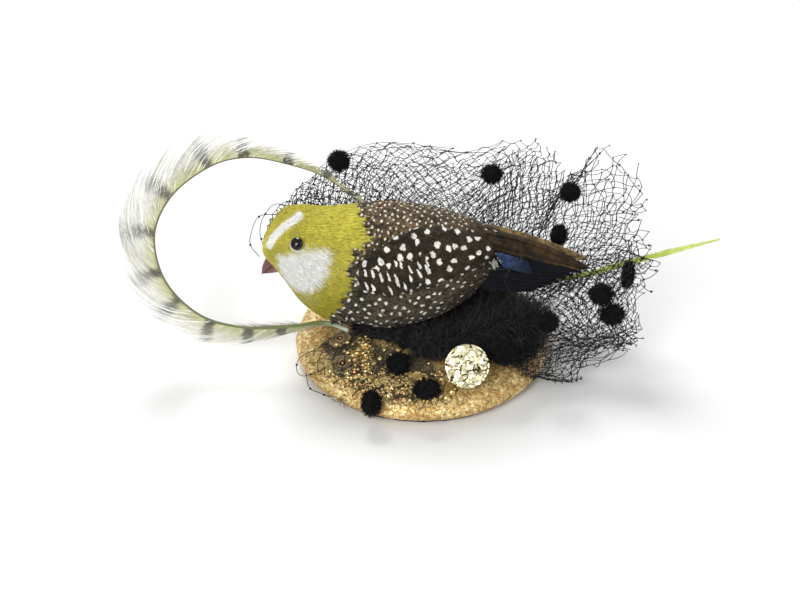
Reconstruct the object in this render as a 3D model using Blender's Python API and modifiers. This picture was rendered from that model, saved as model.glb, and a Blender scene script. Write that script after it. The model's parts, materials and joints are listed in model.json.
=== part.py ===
"""Bird fascinator: a small domed hat base with a hidden hair clip, an artificial bird,
a curled feather, a slim green feather, spotted veiling, lace, a disc and fluff.

Frame: origin at the centre of the base's rim on the surface it stands on. +X runs towards
the bird's tail, +Y towards the back of the piece, +Z up. All lengths are in metres.
"""

import math

import bmesh
import bpy
from mathutils import Vector

MM = 0.001
GAP = 0.3 * MM  # air between pieces that lie against each other

# Domed base, all radii from its upright axis
BASE_RADIUS = 50 * MM
EQUATOR_Z = 4.5 * MM  # height at which the base is widest
DOME_RISE = 12 * MM  # crown above the equator
CURL_CENTRE_RADIUS = 44 * MM
CURL_BOTTOM_Z = 1.2 * MM
COVER_THICKNESS = 0.9 * MM
SHELL_THICKNESS = 1.2 * MM
LINING_THICKNESS = 0.8 * MM
BINDING_INNER_RADIUS = 43.5 * MM
BINDING_OUTER_RADIUS = 46.8 * MM
BINDING_HEIGHT = 0.9 * MM
RIM_WIRE_RADIUS = 47.8 * MM
RIM_WIRE_Z = 3.75 * MM
RIM_WIRE_THICKNESS = 0.8 * MM
TURNED_STEPS = 32

# Sprung hair clip under the crown, lying along X
CLIP_Y = 10 * MM
PIVOT = Vector((7 * MM, CLIP_Y, 7.6 * MM))
PIN_RADIUS = 0.6 * MM
PIN_HOLE_RADIUS = 0.9 * MM
ARM_HALF_WIDTH = 4 * MM
JAW_HALF_WIDTH = 2.9 * MM
EAR_THICKNESS = 0.75 * MM
COIL_RADIUS = 1.25 * MM
COIL_TURNS = 3
SPRING_WIRE_RADIUS = 0.32 * MM

# Artificial bird, in its own frame: head towards -X, back towards +Z
BIRD_CENTRE = Vector((0, -3 * MM, 42.2 * MM))
BIRD_ROLL = math.radians(-20)  # its back leans away from the front
PLUMAGE_THICKNESS = 2 * MM
NECK_X = -24 * MM
BIRD_SIDES = 16
BIRD_WIRE_RADIUS = 0.6 * MM
BIRD_WIRE_Y = -6.5 * MM
BIRD_WIRE_XS = (-16 * MM, 8 * MM)
EYE_RADIUS = 2.5 * MM
EYE_PLACE = Vector((-46.9 * MM, 14.0 * MM, 11.5 * MM))  # on the right side, before mirroring

# Body stations along the bird: x, centre height, half height, half width, in millimetres
BIRD_STATIONS = (
    (-61.6, 6.7, 2.0, 2.0),
    (-60.3, 7.4, 5.6, 5.2),
    (-57.0, 8.6, 10.0, 8.8),
    (-52.7, 8.2, 14.8, 12.2),
    (-46.4, 4.6, 19.6, 15.2),
    (-37.5, 1.2, 22.4, 17.2),
    (-26.2, 0.7, 23.7, 18.6),
    (-14.1, 0.4, 24.9, 19.2),
    (-0.8, 0.8, 23.4, 18.8),
    (8.2, 1.5, 20.9, 17.2),
    (17.1, 2.9, 16.6, 14.0),
    (24.0, 5.0, 11.6, 10.0),
)

# Curled feather: centre line of its shaft from the quill's end, in millimetres
FEATHER_LINE = (
    (-24.7, -15.0, 17.7),
    (-37.2, -11.0, 20.5),
    (-50.7, -12.0, 19.6),
    (-69.2, -11.0, 18.3),
    (-86.6, -8.0, 22.2),
    (-99.4, -4.0, 35.6),
    (-102.6, 1.0, 53.5),
    (-95.3, 7.0, 67.6),
    (-80.1, 12.0, 77.6),
    (-65.8, 16.0, 78.8),
    (-50.5, 18.5, 74.0),
    (-38.8, 20.5, 68.0),
    (-28.1, 21.5, 59.0),
    (-18.4, 21.5, 49.8),
)
# Vane width at the same points, from quill to tip
VANE_WIDTHS = (0.0, 0.0, 4.0, 9.0, 11.0, 12.0, 11.6, 12.0, 11.0, 9.0, 6.0, 3.5, 2.0, 1.2)
VANE_THICKNESS = 0.8 * MM
SHAFT_RADIUS = 0.8 * MM
SHAFT_TIP_SHARE = 0.4

# Green feather: centre line from its root to its tip, in millimetres
GREEN_LINE = (
    (50.0, -3.0, 31.2),
    (62.1, -3.0, 36.6),
    (73.0, -3.0, 41.2),
    (87.3, -3.0, 45.9),
    (98.5, -3.0, 49.5),
    (113.6, -3.0, 54.2),
)
GREEN_WIDTHS = (1.6, 2.2, 2.6, 2.6, 2.0, 0.7)
GREEN_THICKNESS = 0.7 * MM

# Veiling: pairs of a root point and an edge point across each gathered piece, in millimetres
VEIL_THICKNESS = 1.6 * MM
BACK_VEIL = (
    ((-24, 22, 20), (-53.5, 20, 57.3)),
    ((-20, 23, 20), (-43.0, 26, 66.4)),
    ((-15, 24, 20), (-30.0, 30, 74.9)),
    ((-6, 25, 20), (-8.6, 33, 77.6)),
    ((6, 25, 20), (16.9, 34, 73.5)),
    ((16, 25, 20), (38.6, 33, 77.6)),
    ((24, 24, 19), (49.5, 30, 73.1)),
    ((30, 22, 19), (59.5, 26, 63.7)),
    ((36, 20, 18), (70.2, 22, 78.0)),
    ((42, 17, 18), (84.1, 16, 65.2)),
    ((46, 13, 17), (86.5, 10, 49.8)),
    ((48, 10, 16), (91.0, 6, 35.4)),
)
SIDE_VEIL = (
    ((53, -7, 30), (84.6, -8, 53.0)),
    ((54, -9, 27), (87.1, -9, 41.6)),
    ((54, -11, 24), (84.3, -12, 32.0)),
    ((54, -14, 21), (84.9, -16, 18.3)),
    ((54, -17, 18), (84.6, -19, 13.3)),
    ((53, -20, 16), (68.4, -24, 10.8)),
    ((51, -22, 15), (59.8, -27, 3.6)),
    ((48, -24, 15), (49.0, -30, 5.7)),
)
REAR_VEIL = (
    ((-26, 27, 19), (-36, 40, 9)),
    ((-12, 29, 20), (-18, 49, 8)),
    ((4, 30, 20), (4, 52, 9)),
    ((20, 29, 19), (26, 48, 8)),
    ((34, 25, 18), (44, 39, 9)),
)
SHEET_STEPS = 5

# Lace and net that lie on the dome, as lift above the gold cover
LACE_LIFT = GAP
LACE_THICKNESS = 0.5 * MM
MOTIF_LIFT = 1.15 * MM
FRONT_VEIL_LIFT = 3.6 * MM
FRONT_VEIL_THICKNESS = 0.6 * MM

# Chenille spots: centre and half sizes, in millimetres
SPOTS = (
    ((-32.4, 27, 70.8), (4.6, 4.0, 4.6)),
    ((27.5, 29, 63.7), (4.6, 4.0, 3.9)),
    ((57.7, 21, 60.3), (4.4, 4.0, 4.2)),
    ((53.7, 14, 44.9), (3.6, 3.6, 4.8)),
    ((78.7, -8, 40.9), (2.8, 2.8, 6.4)),
    ((68.6, -11.5, 34.4), (4.4, 4.0, 3.8)),
    ((73.0, -14, 26.6), (4.4, 4.0, 3.8)),
    ((47.4, -26, 31.6), (4.2, 3.6, 4.4)),
    ((31.5, -31, 21.3), (4.8, 4.4, 4.6)),
    ((-9.4, -34, 18.2), (4.8, 4.4, 4.6)),
    ((1.5, -45, 14.6), (5.8, 4.2, 4.2)),
    ((-19.4, -48.6, 10.4), (4.2, 4.2, 5.8)),
)

# Fluff tucked under the belly and tail: x, y, z and radius of stations, in millimetres
FLUFF_STATIONS = (
    (-5.0, -25.0, 20.6, 2.0),
    (1.0, -25.0, 20.6, 3.6),
    (8.0, -24.0, 20.8, 4.4),
    (20.0, -20.5, 21.2, 6.0),
    (31.0, -15.0, 21.8, 7.4),
    (40.0, -13.0, 22.4, 7.4),
    (46.0, -13.0, 22.6, 4.0),
)

DISC_CENTRE = Vector((16.7, -37.0, 19.1)) * MM
DISC_RADIUS = 8.8 * MM
DISC_THICKNESS = 0.5 * MM
DISC_TILT = math.radians(52)  # from lying flat to facing the front

MOTIFS = ((-31.9 * MM, -14.1 * MM, 4.0 * MM), (-30.4 * MM, -27.8 * MM, 4.4 * MM))
BEADS = ((-21.5, -22.0), (-18.5, -29.0), (-25.0, -34.0), (-9.0, -22.5))
BEAD_RADIUS = 1.5 * MM


# ---------------------------------------------------------------- scene and materials


def clear_scene():
    for obj in list(bpy.data.objects):
        bpy.data.objects.remove(obj, do_unlink=True)


def new_collection(name, hidden=False):
    collection = bpy.data.collections.new(name)
    bpy.context.scene.collection.children.link(collection)
    collection.hide_render = hidden
    return collection


def material(name, rgb, roughness, metallic=0.0):
    found = bpy.data.materials.get(name)
    if found:
        return found
    made = bpy.data.materials.new(name)
    made.use_nodes = True
    shader = made.node_tree.nodes["Principled BSDF"]
    shader.inputs["Base Color"].default_value = (*rgb, 1.0)
    shader.inputs["Roughness"].default_value = roughness
    shader.inputs["Metallic"].default_value = metallic
    return made


def gold_leather():
    return material("gold_leather", (0.80, 0.52, 0.17), 0.35, 0.8)


def buckram():
    return material("buckram", (0.05, 0.05, 0.05), 0.9)


def black_felt():
    return material("black_felt", (0.02, 0.02, 0.022), 0.95)


def black_binding():
    return material("black_binding", (0.015, 0.015, 0.017), 0.8)


def steel():
    return material("steel", (0.62, 0.62, 0.64), 0.3, 1.0)


def olive_lace():
    return material("olive_lace", (0.09, 0.07, 0.035), 0.8)


def brass():
    return material("brass", (0.95, 0.78, 0.42), 0.2, 1.0)


def black_fluff():
    return material("black_fluff", (0.012, 0.011, 0.010), 0.95)


def black_chenille():
    return material("black_chenille", (0.01, 0.01, 0.012), 0.95)


def black_veiling():
    return material("black_veiling", (0.012, 0.012, 0.014), 0.7)


def foam():
    return material("foam", (0.85, 0.84, 0.80), 0.9)


def olive_plumage():
    return material("olive_plumage", (0.56, 0.50, 0.06), 0.8)


def speckled_plumage():
    return material("speckled_plumage", (0.12, 0.09, 0.06), 0.7)


def wing_plumage():
    return material("wing_plumage", (0.05, 0.04, 0.03), 0.6)


def russet_feather():
    return material("russet_feather", (0.18, 0.09, 0.04), 0.6)


def navy_feather():
    return material("navy_feather", (0.01, 0.015, 0.05), 0.4)


def blue_feather():
    return material("blue_feather", (0.05, 0.12, 0.45), 0.35)


def beak_paint():
    return material("beak_paint", (0.28, 0.13, 0.12), 0.5)


def eye_gloss():
    return material("eye_gloss", (0.01, 0.01, 0.01), 0.08)


def shaft_quill():
    return material("shaft_quill", (0.42, 0.46, 0.25), 0.45)


def cream_vane():
    return material("cream_vane", (0.78, 0.77, 0.62), 0.7)


def lime_feather():
    return material("lime_feather", (0.55, 0.72, 0.08), 0.6)


# ---------------------------------------------------------------- shape helpers


def place(obj, collection, look=None, parent=None):
    collection.objects.link(obj)
    if look:
        obj.data.materials.append(look)
    if parent:
        obj.parent = parent
    return obj


def shade_round(mesh, angle=math.radians(40)):
    mesh.shade_smooth()
    mesh.set_sharp_from_angle(angle=angle)


def mesh_from(name, points, faces):
    """A mesh object from points and faces, with its faces turned outwards."""
    mesh = bpy.data.meshes.new(name)
    mesh.from_pydata([tuple(p) for p in points], [], faces)
    work = bmesh.new()
    work.from_mesh(mesh)
    bmesh.ops.recalc_face_normals(work, faces=work.faces)
    work.to_mesh(mesh)
    work.free()
    shade_round(mesh)
    return bpy.data.objects.new(name, mesh)


def turned(name, profile, closed=False):
    """A ring or dome turned round the Z axis from (radius, z) points, top to bottom."""
    mesh = bpy.data.meshes.new(name)
    count = len(profile)
    edges = [(i, i + 1) for i in range(count - 1)]
    if closed:
        edges.append((count - 1, 0))
    mesh.from_pydata([(r, 0, z) for r, z in profile], edges, [])
    obj = bpy.data.objects.new(name, mesh)
    screw = obj.modifiers.new("turn", "SCREW")
    screw.steps = TURNED_STEPS
    screw.render_steps = TURNED_STEPS
    screw.use_merge_vertices = True
    screw.merge_threshold = 0.00001
    screw.use_smooth_shade = True
    return obj


def smooth_line(points, steps):
    """Points along a Catmull-Rom curve through the given points, steps to each stretch."""
    ends = [2 * points[0] - points[1], *points, 2 * points[-1] - points[-2]]
    line = []
    for i in range(len(points) - 1):
        a, b, c, d = ends[i : i + 4]
        for k in range(steps):
            t = k / steps
            line.append(
                0.5 * (2 * b + (c - a) * t + (2 * a - 5 * b + 4 * c - d) * t**2)
                + 0.5 * (3 * b - a - 3 * c + d) * t**3
            )
    line.append(points[-1].copy())
    return line


def smooth_values(values, steps):
    return [p.x for p in smooth_line([Vector((v, 0, 0)) for v in values], steps)]


def tube(name, points, radius, radii=None, sides=2):
    """A wire along points, with closed ends and an optional taper."""
    curve = bpy.data.curves.new(name, "CURVE")
    curve.dimensions = "3D"
    curve.bevel_depth = radius
    curve.bevel_resolution = sides
    curve.use_fill_caps = True
    spline = curve.splines.new("POLY")
    spline.points.add(len(points) - 1)
    for i, point in enumerate(points):
        spline.points[i].co = (*point, 1.0)
        spline.points[i].radius = radii[i] if radii else 1.0
    return bpy.data.objects.new(name, curve)


def loft(name, rings):
    """A closed body through rings of points, with flat ends."""
    sides = len(rings[0])
    points = [p for ring in rings for p in ring]
    faces = [tuple(range(sides)), tuple(range(len(points) - sides, len(points)))]
    for r in range(len(rings) - 1):
        for s in range(sides):
            n = (s + 1) % sides
            faces.append(
                (r * sides + s, r * sides + n, (r + 1) * sides + n, (r + 1) * sides + s)
            )
    return mesh_from(name, points, faces)


def ellipse(x, centre_z, half_height, half_width, centre_y=0.0, sides=BIRD_SIDES):
    """A ring in the plane across X."""
    ring = []
    for i in range(sides):
        angle = 2 * math.pi * i / sides
        y = centre_y + half_width * math.cos(angle)
        ring.append(Vector((x, y, centre_z + half_height * math.sin(angle))))
    return ring


def sheet(name, grid, thickness):
    """A thin closed body of even thickness, centred on a grid of points."""
    rows, columns = len(grid), len(grid[0])
    points = [p for row in grid for p in row]
    faces = []
    for r in range(rows - 1):
        for c in range(columns - 1):
            a = r * columns + c
            faces.append((a, a + 1, a + columns + 1, a + columns))
    obj = mesh_from(name, points, faces)
    solidify = obj.modifiers.new("thickness", "SOLIDIFY")
    solidify.thickness = thickness
    solidify.offset = 0
    solidify.use_even_offset = True
    return obj


def box(name, low, high):
    bpy.ops.mesh.primitive_cube_add(size=1)
    obj = bpy.context.active_object
    obj.name = name
    middle = (Vector(low) + Vector(high)) / 2
    size = Vector(high) - Vector(low)
    for vertex in obj.data.vertices:
        vertex.co = Vector(a * b for a, b in zip(vertex.co, size, strict=True)) + middle
    return loose(obj)


def cylinder(name, centre, radius, depth, axis="Z", sides=16):
    bpy.ops.mesh.primitive_cylinder_add(vertices=sides, radius=radius, depth=depth)
    obj = bpy.context.active_object
    obj.name = name
    obj.location = centre
    if axis == "Y":
        obj.rotation_euler = (math.pi / 2, 0, 0)
    shade_round(obj.data)
    return loose(obj)


def ball(name, centre, half_sizes, segments=12, rings=8):
    bpy.ops.mesh.primitive_uv_sphere_add(segments=segments, ring_count=rings, radius=1)
    obj = bpy.context.active_object
    obj.name = name
    for vertex in obj.data.vertices:
        vertex.co = Vector(a * b for a, b in zip(vertex.co, half_sizes, strict=True))
    obj.location = centre
    obj.data.shade_smooth()
    return loose(obj)


def boolean(obj, other, operation="DIFFERENCE"):
    modifier = obj.modifiers.new(operation.lower(), "BOOLEAN")
    modifier.operation = operation
    modifier.object = other


def loose(obj):
    """The object, taken out of the collection that its operator put it in."""
    for collection in list(obj.users_collection):
        collection.objects.unlink(obj)
    return obj


def as_cutter(obj, parent=None):
    place(obj, CUTTERS, parent=parent)
    obj.hide_render = True
    obj.display_type = "WIRE"
    return obj


# ---------------------------------------------------------------- base


def dome_arc(inset, start, end, steps):
    """(radius, z) points of the crown, inset below the outer face, from angle start to end."""
    arc = []
    for i in range(steps + 1):
        angle = start + (end - start) * i / steps
        radius = (BASE_RADIUS - inset) * math.cos(angle)
        arc.append((radius, EQUATOR_Z + (DOME_RISE - inset) * math.sin(angle)))
    return arc


def curl_arc(inset, end, steps):
    """(radius, z) points of the edge that curls in under the equator."""
    arc = []
    for i in range(1, steps + 1):
        angle = end * i / steps
        reach = BASE_RADIUS - inset - CURL_CENTRE_RADIUS
        drop = EQUATOR_Z - CURL_BOTTOM_Z - inset
        radius = CURL_CENTRE_RADIUS + reach * math.cos(angle)
        arc.append((radius, EQUATOR_Z - drop * math.sin(angle)))
    return arc


def layer_profile(outer_inset, thickness, lower_angle, curl_angle=0.0, curl_steps=0):
    """Section of one dome layer, from the crown down the outside and back up the inside."""
    top = math.pi / 2
    inner_inset = outer_inset + thickness
    outer = dome_arc(outer_inset, top, lower_angle, 7)
    inner = dome_arc(inner_inset, top, lower_angle, 7)
    if curl_steps:
        outer += curl_arc(outer_inset, curl_angle, curl_steps)
        inner += curl_arc(inner_inset, curl_angle, curl_steps)
    outer[0] = (0.0, outer[0][1])
    inner[0] = (0.0, inner[0][1])
    return outer + inner[::-1]


def dome_height(x, y, lift=0.0):
    """Height of the crown's outer face above (x, y), grown outwards by lift."""
    share = 1 - (x * x + y * y) / (BASE_RADIUS + lift) ** 2
    return EQUATOR_Z + (DOME_RISE + lift) * math.sqrt(max(share, 0.0))


def dome_normal(x, y):
    up = (dome_height(x, y) - EQUATOR_Z) / DOME_RISE**2
    return Vector((x / BASE_RADIUS**2, y / BASE_RADIUS**2, up)).normalized()


def wire_drills():
    """Upright cutters for the two wires that hold the bird."""
    drills = []
    for i, x in enumerate(BIRD_WIRE_XS):
        low, high = 6 * MM, 27.5 * MM
        centre = Vector((x, BIRD_WIRE_Y, (low + high) / 2))
        drill = cylinder(f"wire_drill_{i}", centre, BIRD_WIRE_RADIUS + GAP, high - low)
        drills.append(as_cutter(drill))
    return drills


def make_base(drills):
    shell_inset = COVER_THICKNESS + GAP
    lining_inset = shell_inset + SHELL_THICKNESS + GAP
    cover_profile = layer_profile(0, COVER_THICKNESS, 0.0, math.radians(80), 4)
    cover = turned("base_cover", cover_profile)
    shell = turned("base_shell", layer_profile(shell_inset, SHELL_THICKNESS, 0.0))
    lining = turned("base_lining", layer_profile(lining_inset, LINING_THICKNESS, 0.0))
    for layer, look in ((cover, gold_leather()), (shell, buckram()), (lining, black_felt())):
        for drill in drills:
            boolean(layer, drill)
        place(layer, PARTS, look)

    binding = turned(
        "rim_binding",
        [
            (BINDING_INNER_RADIUS, BINDING_HEIGHT),
            (BINDING_OUTER_RADIUS, BINDING_HEIGHT),
            (BINDING_OUTER_RADIUS, 0.0),
            (BINDING_INNER_RADIUS, 0.0),
        ],
        closed=True,
    )
    place(binding, PARTS, black_binding())

    bpy.ops.mesh.primitive_torus_add(
        major_radius=RIM_WIRE_RADIUS,
        minor_radius=RIM_WIRE_THICKNESS / 2,
        major_segments=TURNED_STEPS,
        minor_segments=6,
        location=(0, 0, RIM_WIRE_Z),
    )
    wire = bpy.context.active_object
    wire.name = "rim_wire"
    loose(wire)
    wire.data.shade_smooth()
    place(wire, PARTS, steel())


# ---------------------------------------------------------------- hair clip


def ears(name, half_width, radius, low_z, high_z):
    """A pair of solids at the pivot: round eyes joined to a web, as cutters for a union."""
    made = []
    for side in (-1, 1):
        y = CLIP_Y + side * (half_width - EAR_THICKNESS / 2)
        label = f"{name}_{'near' if side < 0 else 'far'}"
        centre = Vector((PIVOT.x, y, PIVOT.z))
        eye = cylinder(f"{label}_eye", centre, radius, EAR_THICKNESS, axis="Y")
        web = box(
            f"{label}_web",
            (PIVOT.x - radius * 0.96, y - EAR_THICKNESS / 2, low_z),
            (PIVOT.x + radius * 0.96, y + EAR_THICKNESS / 2, high_z),
        )
        made += [as_cutter(eye), as_cutter(web)]
    return made


def strip_profile(name, outline, half_width):
    """A flat strip cut to an outline in the XZ plane and as wide as the clip's arm."""
    rings = []
    for y in (CLIP_Y - half_width, CLIP_Y + half_width):
        rings.append([Vector((x * MM, y, z * MM)) for x, z in outline])
    return loft(name, rings)


def make_clip():
    arm_outline = ((-24, 9.6), (21, 9.6), (21, 10.4), (-24, 10.4))
    arm = strip_profile("clip_fixed_arm", arm_outline, ARM_HALF_WIDTH)
    for ear in ears("arm_ear", ARM_HALF_WIDTH, 1.9 * MM, PIVOT.z, 10.0 * MM):
        boolean(arm, ear, "UNION")

    jaw_outline = (
        (-24, 8.5),
        (-17, 8.5),
        (-11, 4.9),
        (9.2, 4.9),
        (21, 1.6),
        (21, 2.4),
        (9, 5.7),
        (-10.6, 5.7),
        (-16.6, 9.3),
        (-24, 9.3),
    )
    jaw = strip_profile("clip_jaw", jaw_outline, JAW_HALF_WIDTH)
    for ear in ears("jaw_ear", JAW_HALF_WIDTH, 1.6 * MM, 5.3 * MM, PIVOT.z):
        boolean(jaw, ear, "UNION")

    pin_depth = 2 * ARM_HALF_WIDTH + 1.2 * MM
    hole = as_cutter(cylinder("pin_hole", PIVOT, PIN_HOLE_RADIUS, pin_depth, axis="Y"))
    hinge = bpy.data.objects.new("clip_hinge_axis", None)
    hinge.location = PIVOT
    PARTS.objects.link(hinge)
    for obj in (arm, jaw):
        boolean(obj, hole)
        place(obj, PARTS, steel())
    jaw.parent = hinge
    jaw.matrix_parent_inverse.translation = -PIVOT

    pin = cylinder("clip_hinge_pin", PIVOT, PIN_RADIUS, pin_depth, axis="Y", sides=12)
    place(pin, PARTS, steel())
    make_clip_spring(hinge)
    make_clip_pad()


def make_clip_spring(hinge):
    """A coil round the pin with a leg under the arm, and a leg along the jaw's tail."""
    coil_start = CLIP_Y - 1.3 * MM
    pitch = 0.85 * MM
    per_turn = 10
    count = COIL_TURNS * per_turn
    points = []
    for i in range(count + 1):
        angle = math.pi / 2 - 2 * math.pi * i / per_turn
        points.append(
            PIVOT
            + Vector(
                (
                    COIL_RADIUS * math.cos(angle),
                    coil_start - CLIP_Y + pitch * i / per_turn,
                    COIL_RADIUS * math.sin(angle),
                )
            )
        )
    leg = [Vector((x * MM, coil_start, 8.9 * MM)) for x in (18.5, 14, 10)]
    coil = tube("clip_spring", leg + points, SPRING_WIRE_RADIUS, sides=1)
    place(coil, PARTS, steel())

    leg_y = CLIP_Y + 1.6 * MM
    lower = [Vector((x * MM, leg_y, z * MM)) for x, z in ((9.4, 6.45), (14, 5.15), (18, 4.05))]
    leg = tube("clip_spring_leg", lower, SPRING_WIRE_RADIUS, sides=1)
    place(leg, PARTS, steel(), hinge)
    leg.matrix_parent_inverse.translation = -PIVOT


def make_clip_pad():
    """A felt block between the clip's fixed arm and the lining, shaped to the crown."""
    pad_low = 10.4 * MM + GAP
    pad = box(
        "clip_pad",
        (-17 * MM, CLIP_Y - 4.5 * MM, pad_low),
        (15 * MM, CLIP_Y + 4.5 * MM, 15.5 * MM),
    )
    inset = COVER_THICKNESS + SHELL_THICKNESS + LINING_THICKNESS + 3 * GAP
    ceiling = dome_arc(inset, math.pi / 2, 0.0, 10)
    ceiling[0] = (0.0, ceiling[0][1])
    above = 20 * MM
    rim = ceiling[-1][0]
    cutter = turned("ceiling_cutter", [(0.0, above), (rim, above), *ceiling[::-1]])
    boolean(pad, as_cutter(cutter))
    place(pad, PARTS, black_felt())


# ---------------------------------------------------------------- bird


def station(x, inset=0.0):
    """(x, centre height, half height, half width) of the bird at x, all in metres."""
    points = [Vector(s[1:]) for s in BIRD_STATIONS]
    places = [s[0] * MM for s in BIRD_STATIONS]
    x_in = min(max(x, places[0]), places[-1])
    i = max(k for k in range(len(places) - 1) if places[k] <= x_in)
    ends = [2 * points[0] - points[1], *points, 2 * points[-1] - points[-2]]
    a, b, c, d = ends[i : i + 4]
    t = (x_in - places[i]) / (places[i + 1] - places[i])
    value = 0.5 * (
        2 * b + (c - a) * t + (2 * a - 5 * b + 4 * c - d) * t**2 + (3 * b - a - 3 * c + d) * t**3
    )
    return x, value.x * MM, value.y * MM - inset, value.z * MM - inset


def plumage_rings(xs, inset):
    return [ellipse(*station(x, inset)) for x in xs]


def spaced(start, end, count):
    return [start + (end - start) * i / (count - 1) for i in range(count)]


def bird_bodies(bird, drills):
    """Foam core and the two plumage shells round it, which meet at the neck."""
    nose_x, tail_x = BIRD_STATIONS[0][0] * MM, BIRD_STATIONS[-1][0] * MM
    head_xs = [nose_x, -60.3 * MM, -57 * MM, *spaced(-52.7 * MM, NECK_X - GAP / 2, 5)]
    body_xs = spaced(NECK_X + GAP / 2, tail_x, 8)
    inner_head_xs = [x for x in head_xs if x > -56 * MM]
    inner_body_xs = [*body_xs[:-1], tail_x - PLUMAGE_THICKNESS]

    outer = plumage_rings(head_xs, 0)
    inner = plumage_rings(inner_head_xs, PLUMAGE_THICKNESS)
    head = loft("bird_head_plumage", outer + inner[::-1])
    outer = plumage_rings(body_xs, 0)
    inner = plumage_rings(inner_body_xs, PLUMAGE_THICKNESS)
    body = loft("bird_body_plumage", inner[::-1] + outer)

    core_inset = PLUMAGE_THICKNESS + 1.3 * GAP
    core_xs = [inner_head_xs[0] + GAP, *inner_head_xs[1:], *inner_body_xs[:-1]]
    core_xs.append(inner_body_xs[-1] - GAP)
    core = loft("bird_foam_core", plumage_rings(core_xs, core_inset))

    for side, label in ((-1, "left"), (1, "right")):
        make_eye(bird, head, side, label)
    for obj in (body, core):
        for drill in drills:
            boolean(obj, drill)
    place(head, PARTS, olive_plumage(), bird)
    place(body, PARTS, speckled_plumage(), bird)
    place(core, PARTS, foam(), bird)


def make_eye(bird, head, side, label):
    """A glossy bead set in a round socket in the side of the head."""
    centre = Vector((EYE_PLACE.x, side * EYE_PLACE.y, EYE_PLACE.z))
    outward = Vector((-0.25, side * 0.85, 0.32)).normalized()
    turn = outward.to_track_quat("Z", "Y")
    socket = cylinder(f"eye_socket_{label}", centre, EYE_RADIUS + GAP, 3 * MM, sides=14)
    socket.rotation_euler = turn.to_euler()
    socket.location = centre + outward * 0.9 * MM
    boolean(head, as_cutter(socket, bird))
    eye = ball(f"bird_eye_{label}", centre, (EYE_RADIUS, EYE_RADIUS, 1.7 * MM), 14, 8)
    eye.rotation_euler = turn.to_euler()
    eye.location = centre + outward * 1.35 * MM
    place(eye, PARTS, eye_gloss(), bird)


def make_beak(bird):
    """Two mandibles that start at the face and point forwards and down."""
    face = loft("face_cutter", plumage_rings([x * MM for x in (-61.6, -60.3, -57, -50)], -2 * GAP))
    as_cutter(face, bird)
    parts = (
        ("bird_beak_upper", (-54.6, 4.6), (-61.6, -3.4), 2.5, 2.9, 0.35),
        ("bird_beak_lower", (-51.3, 1.7), (-59.8, -3.55), 1.3, 2.1, 0.3),
    )
    for name, root, tip, half_depth, half_width, tip_size in parts:
        start = Vector((root[0], 0, root[1])) * MM
        end = Vector((tip[0], 0, tip[1])) * MM
        along = (end - start).normalized()
        across = along.cross(Vector((0, 1, 0)))
        rings = []
        for share in (0.0, 0.35, 0.7, 1.0):
            taper = 1 - share**1.3
            depth = (tip_size + (half_depth - tip_size) * taper) * MM
            width = (tip_size + (half_width - tip_size) * taper) * MM
            middle = start.lerp(end, share)
            ring = []
            for i in range(10):
                angle = 2 * math.pi * i / 10
                offset = across * depth * math.sin(angle)
                ring.append(middle + offset + Vector((0, width * math.cos(angle), 0)))
            rings.append(ring)
        mandible = loft(name, rings)
        boolean(mandible, face)
        place(mandible, PARTS, beak_paint(), bird)


def make_wing(bird, side, label):
    """A shell over one flank, following the body with a small gap."""
    columns, rows = 9, 6
    front_x, tip_x = -25 * MM, 21 * MM
    grid = []
    for i in range(columns):
        share = i / (columns - 1)
        x = front_x + (tip_x - front_x) * share
        _, centre_z, half_height, half_width = station(x)
        top = (9.0 + 6.5 * math.sin(math.pi * min(share * 0.75, 1.0))) * MM
        low = (-5.0 - 3.5 * math.sin(math.pi * share) + 11.0 * share**2.5) * MM
        row = []
        for k in range(rows):
            z = low + (top - low) * k / (rows - 1)
            rise = max(min((z - centre_z) / half_height, 0.98), -0.98)
            y = half_width * math.sqrt(1 - rise * rise) + GAP + 0.9 * MM
            row.append(Vector((x, side * y, z)))
        grid.append(row)
    wing = sheet(f"bird_wing_{label}", grid, 1.2 * MM)
    place(wing, PARTS, wing_plumage(), bird)


def make_tail(bird):
    """Long upper feathers, a shorter dark bundle below and a blue patch on the left side."""
    start = BIRD_STATIONS[-1][0] + 0.3
    upper = ((start, 9.8, 5.2, 7.0), (33, 8.9, 4.7, 7.6), (42, 6.9, 4.4, 7.2), (54, 2.9, 3.4, 5.2))
    upper += ((64.5, -1.6, 0.7, 1.2),)
    lower = ((start, -0.6, 4.0, 6.6), (31, -1.6, 3.8, 6.4), (38, -3.6, 3.2, 5.4), (52, -4.9, 0.9, 1.8))
    for name, rows, look in (
        ("bird_tail_upper", upper, russet_feather()),
        ("bird_tail_lower", lower, navy_feather()),
    ):
        rings = [ellipse(*(v * MM for v in row), sides=12) for row in rows]
        place(loft(name, rings), PARTS, look, bird)
    patch = ball("bird_tail_blue", Vector((36, -10.2, 2.4)) * MM, Vector((6.5, 1.2, 3.4)) * MM)
    place(patch, PARTS, blue_feather(), bird)


def make_bird_wires():
    """Two wires that run from the core through the dome and bend flat beneath the lining."""
    top, bend_z = 26.5 * MM, 10.6 * MM
    for i, x in enumerate(BIRD_WIRE_XS):
        inwards = 1 if x < 0 else -1
        points = [Vector((x, BIRD_WIRE_Y, z)) for z in (top, 20 * MM, bend_z + 0.8 * MM)]
        points.append(Vector((x + inwards * 0.3 * MM, BIRD_WIRE_Y, bend_z + 0.25 * MM)))
        points.append(Vector((x + inwards * 0.9 * MM, BIRD_WIRE_Y, bend_z)))
        points.append(Vector((x + inwards * 6 * MM, BIRD_WIRE_Y, bend_z)))
        wire = tube(f"bird_wire_{i + 1}", points, BIRD_WIRE_RADIUS)
        place(wire, PARTS, steel())


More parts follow.
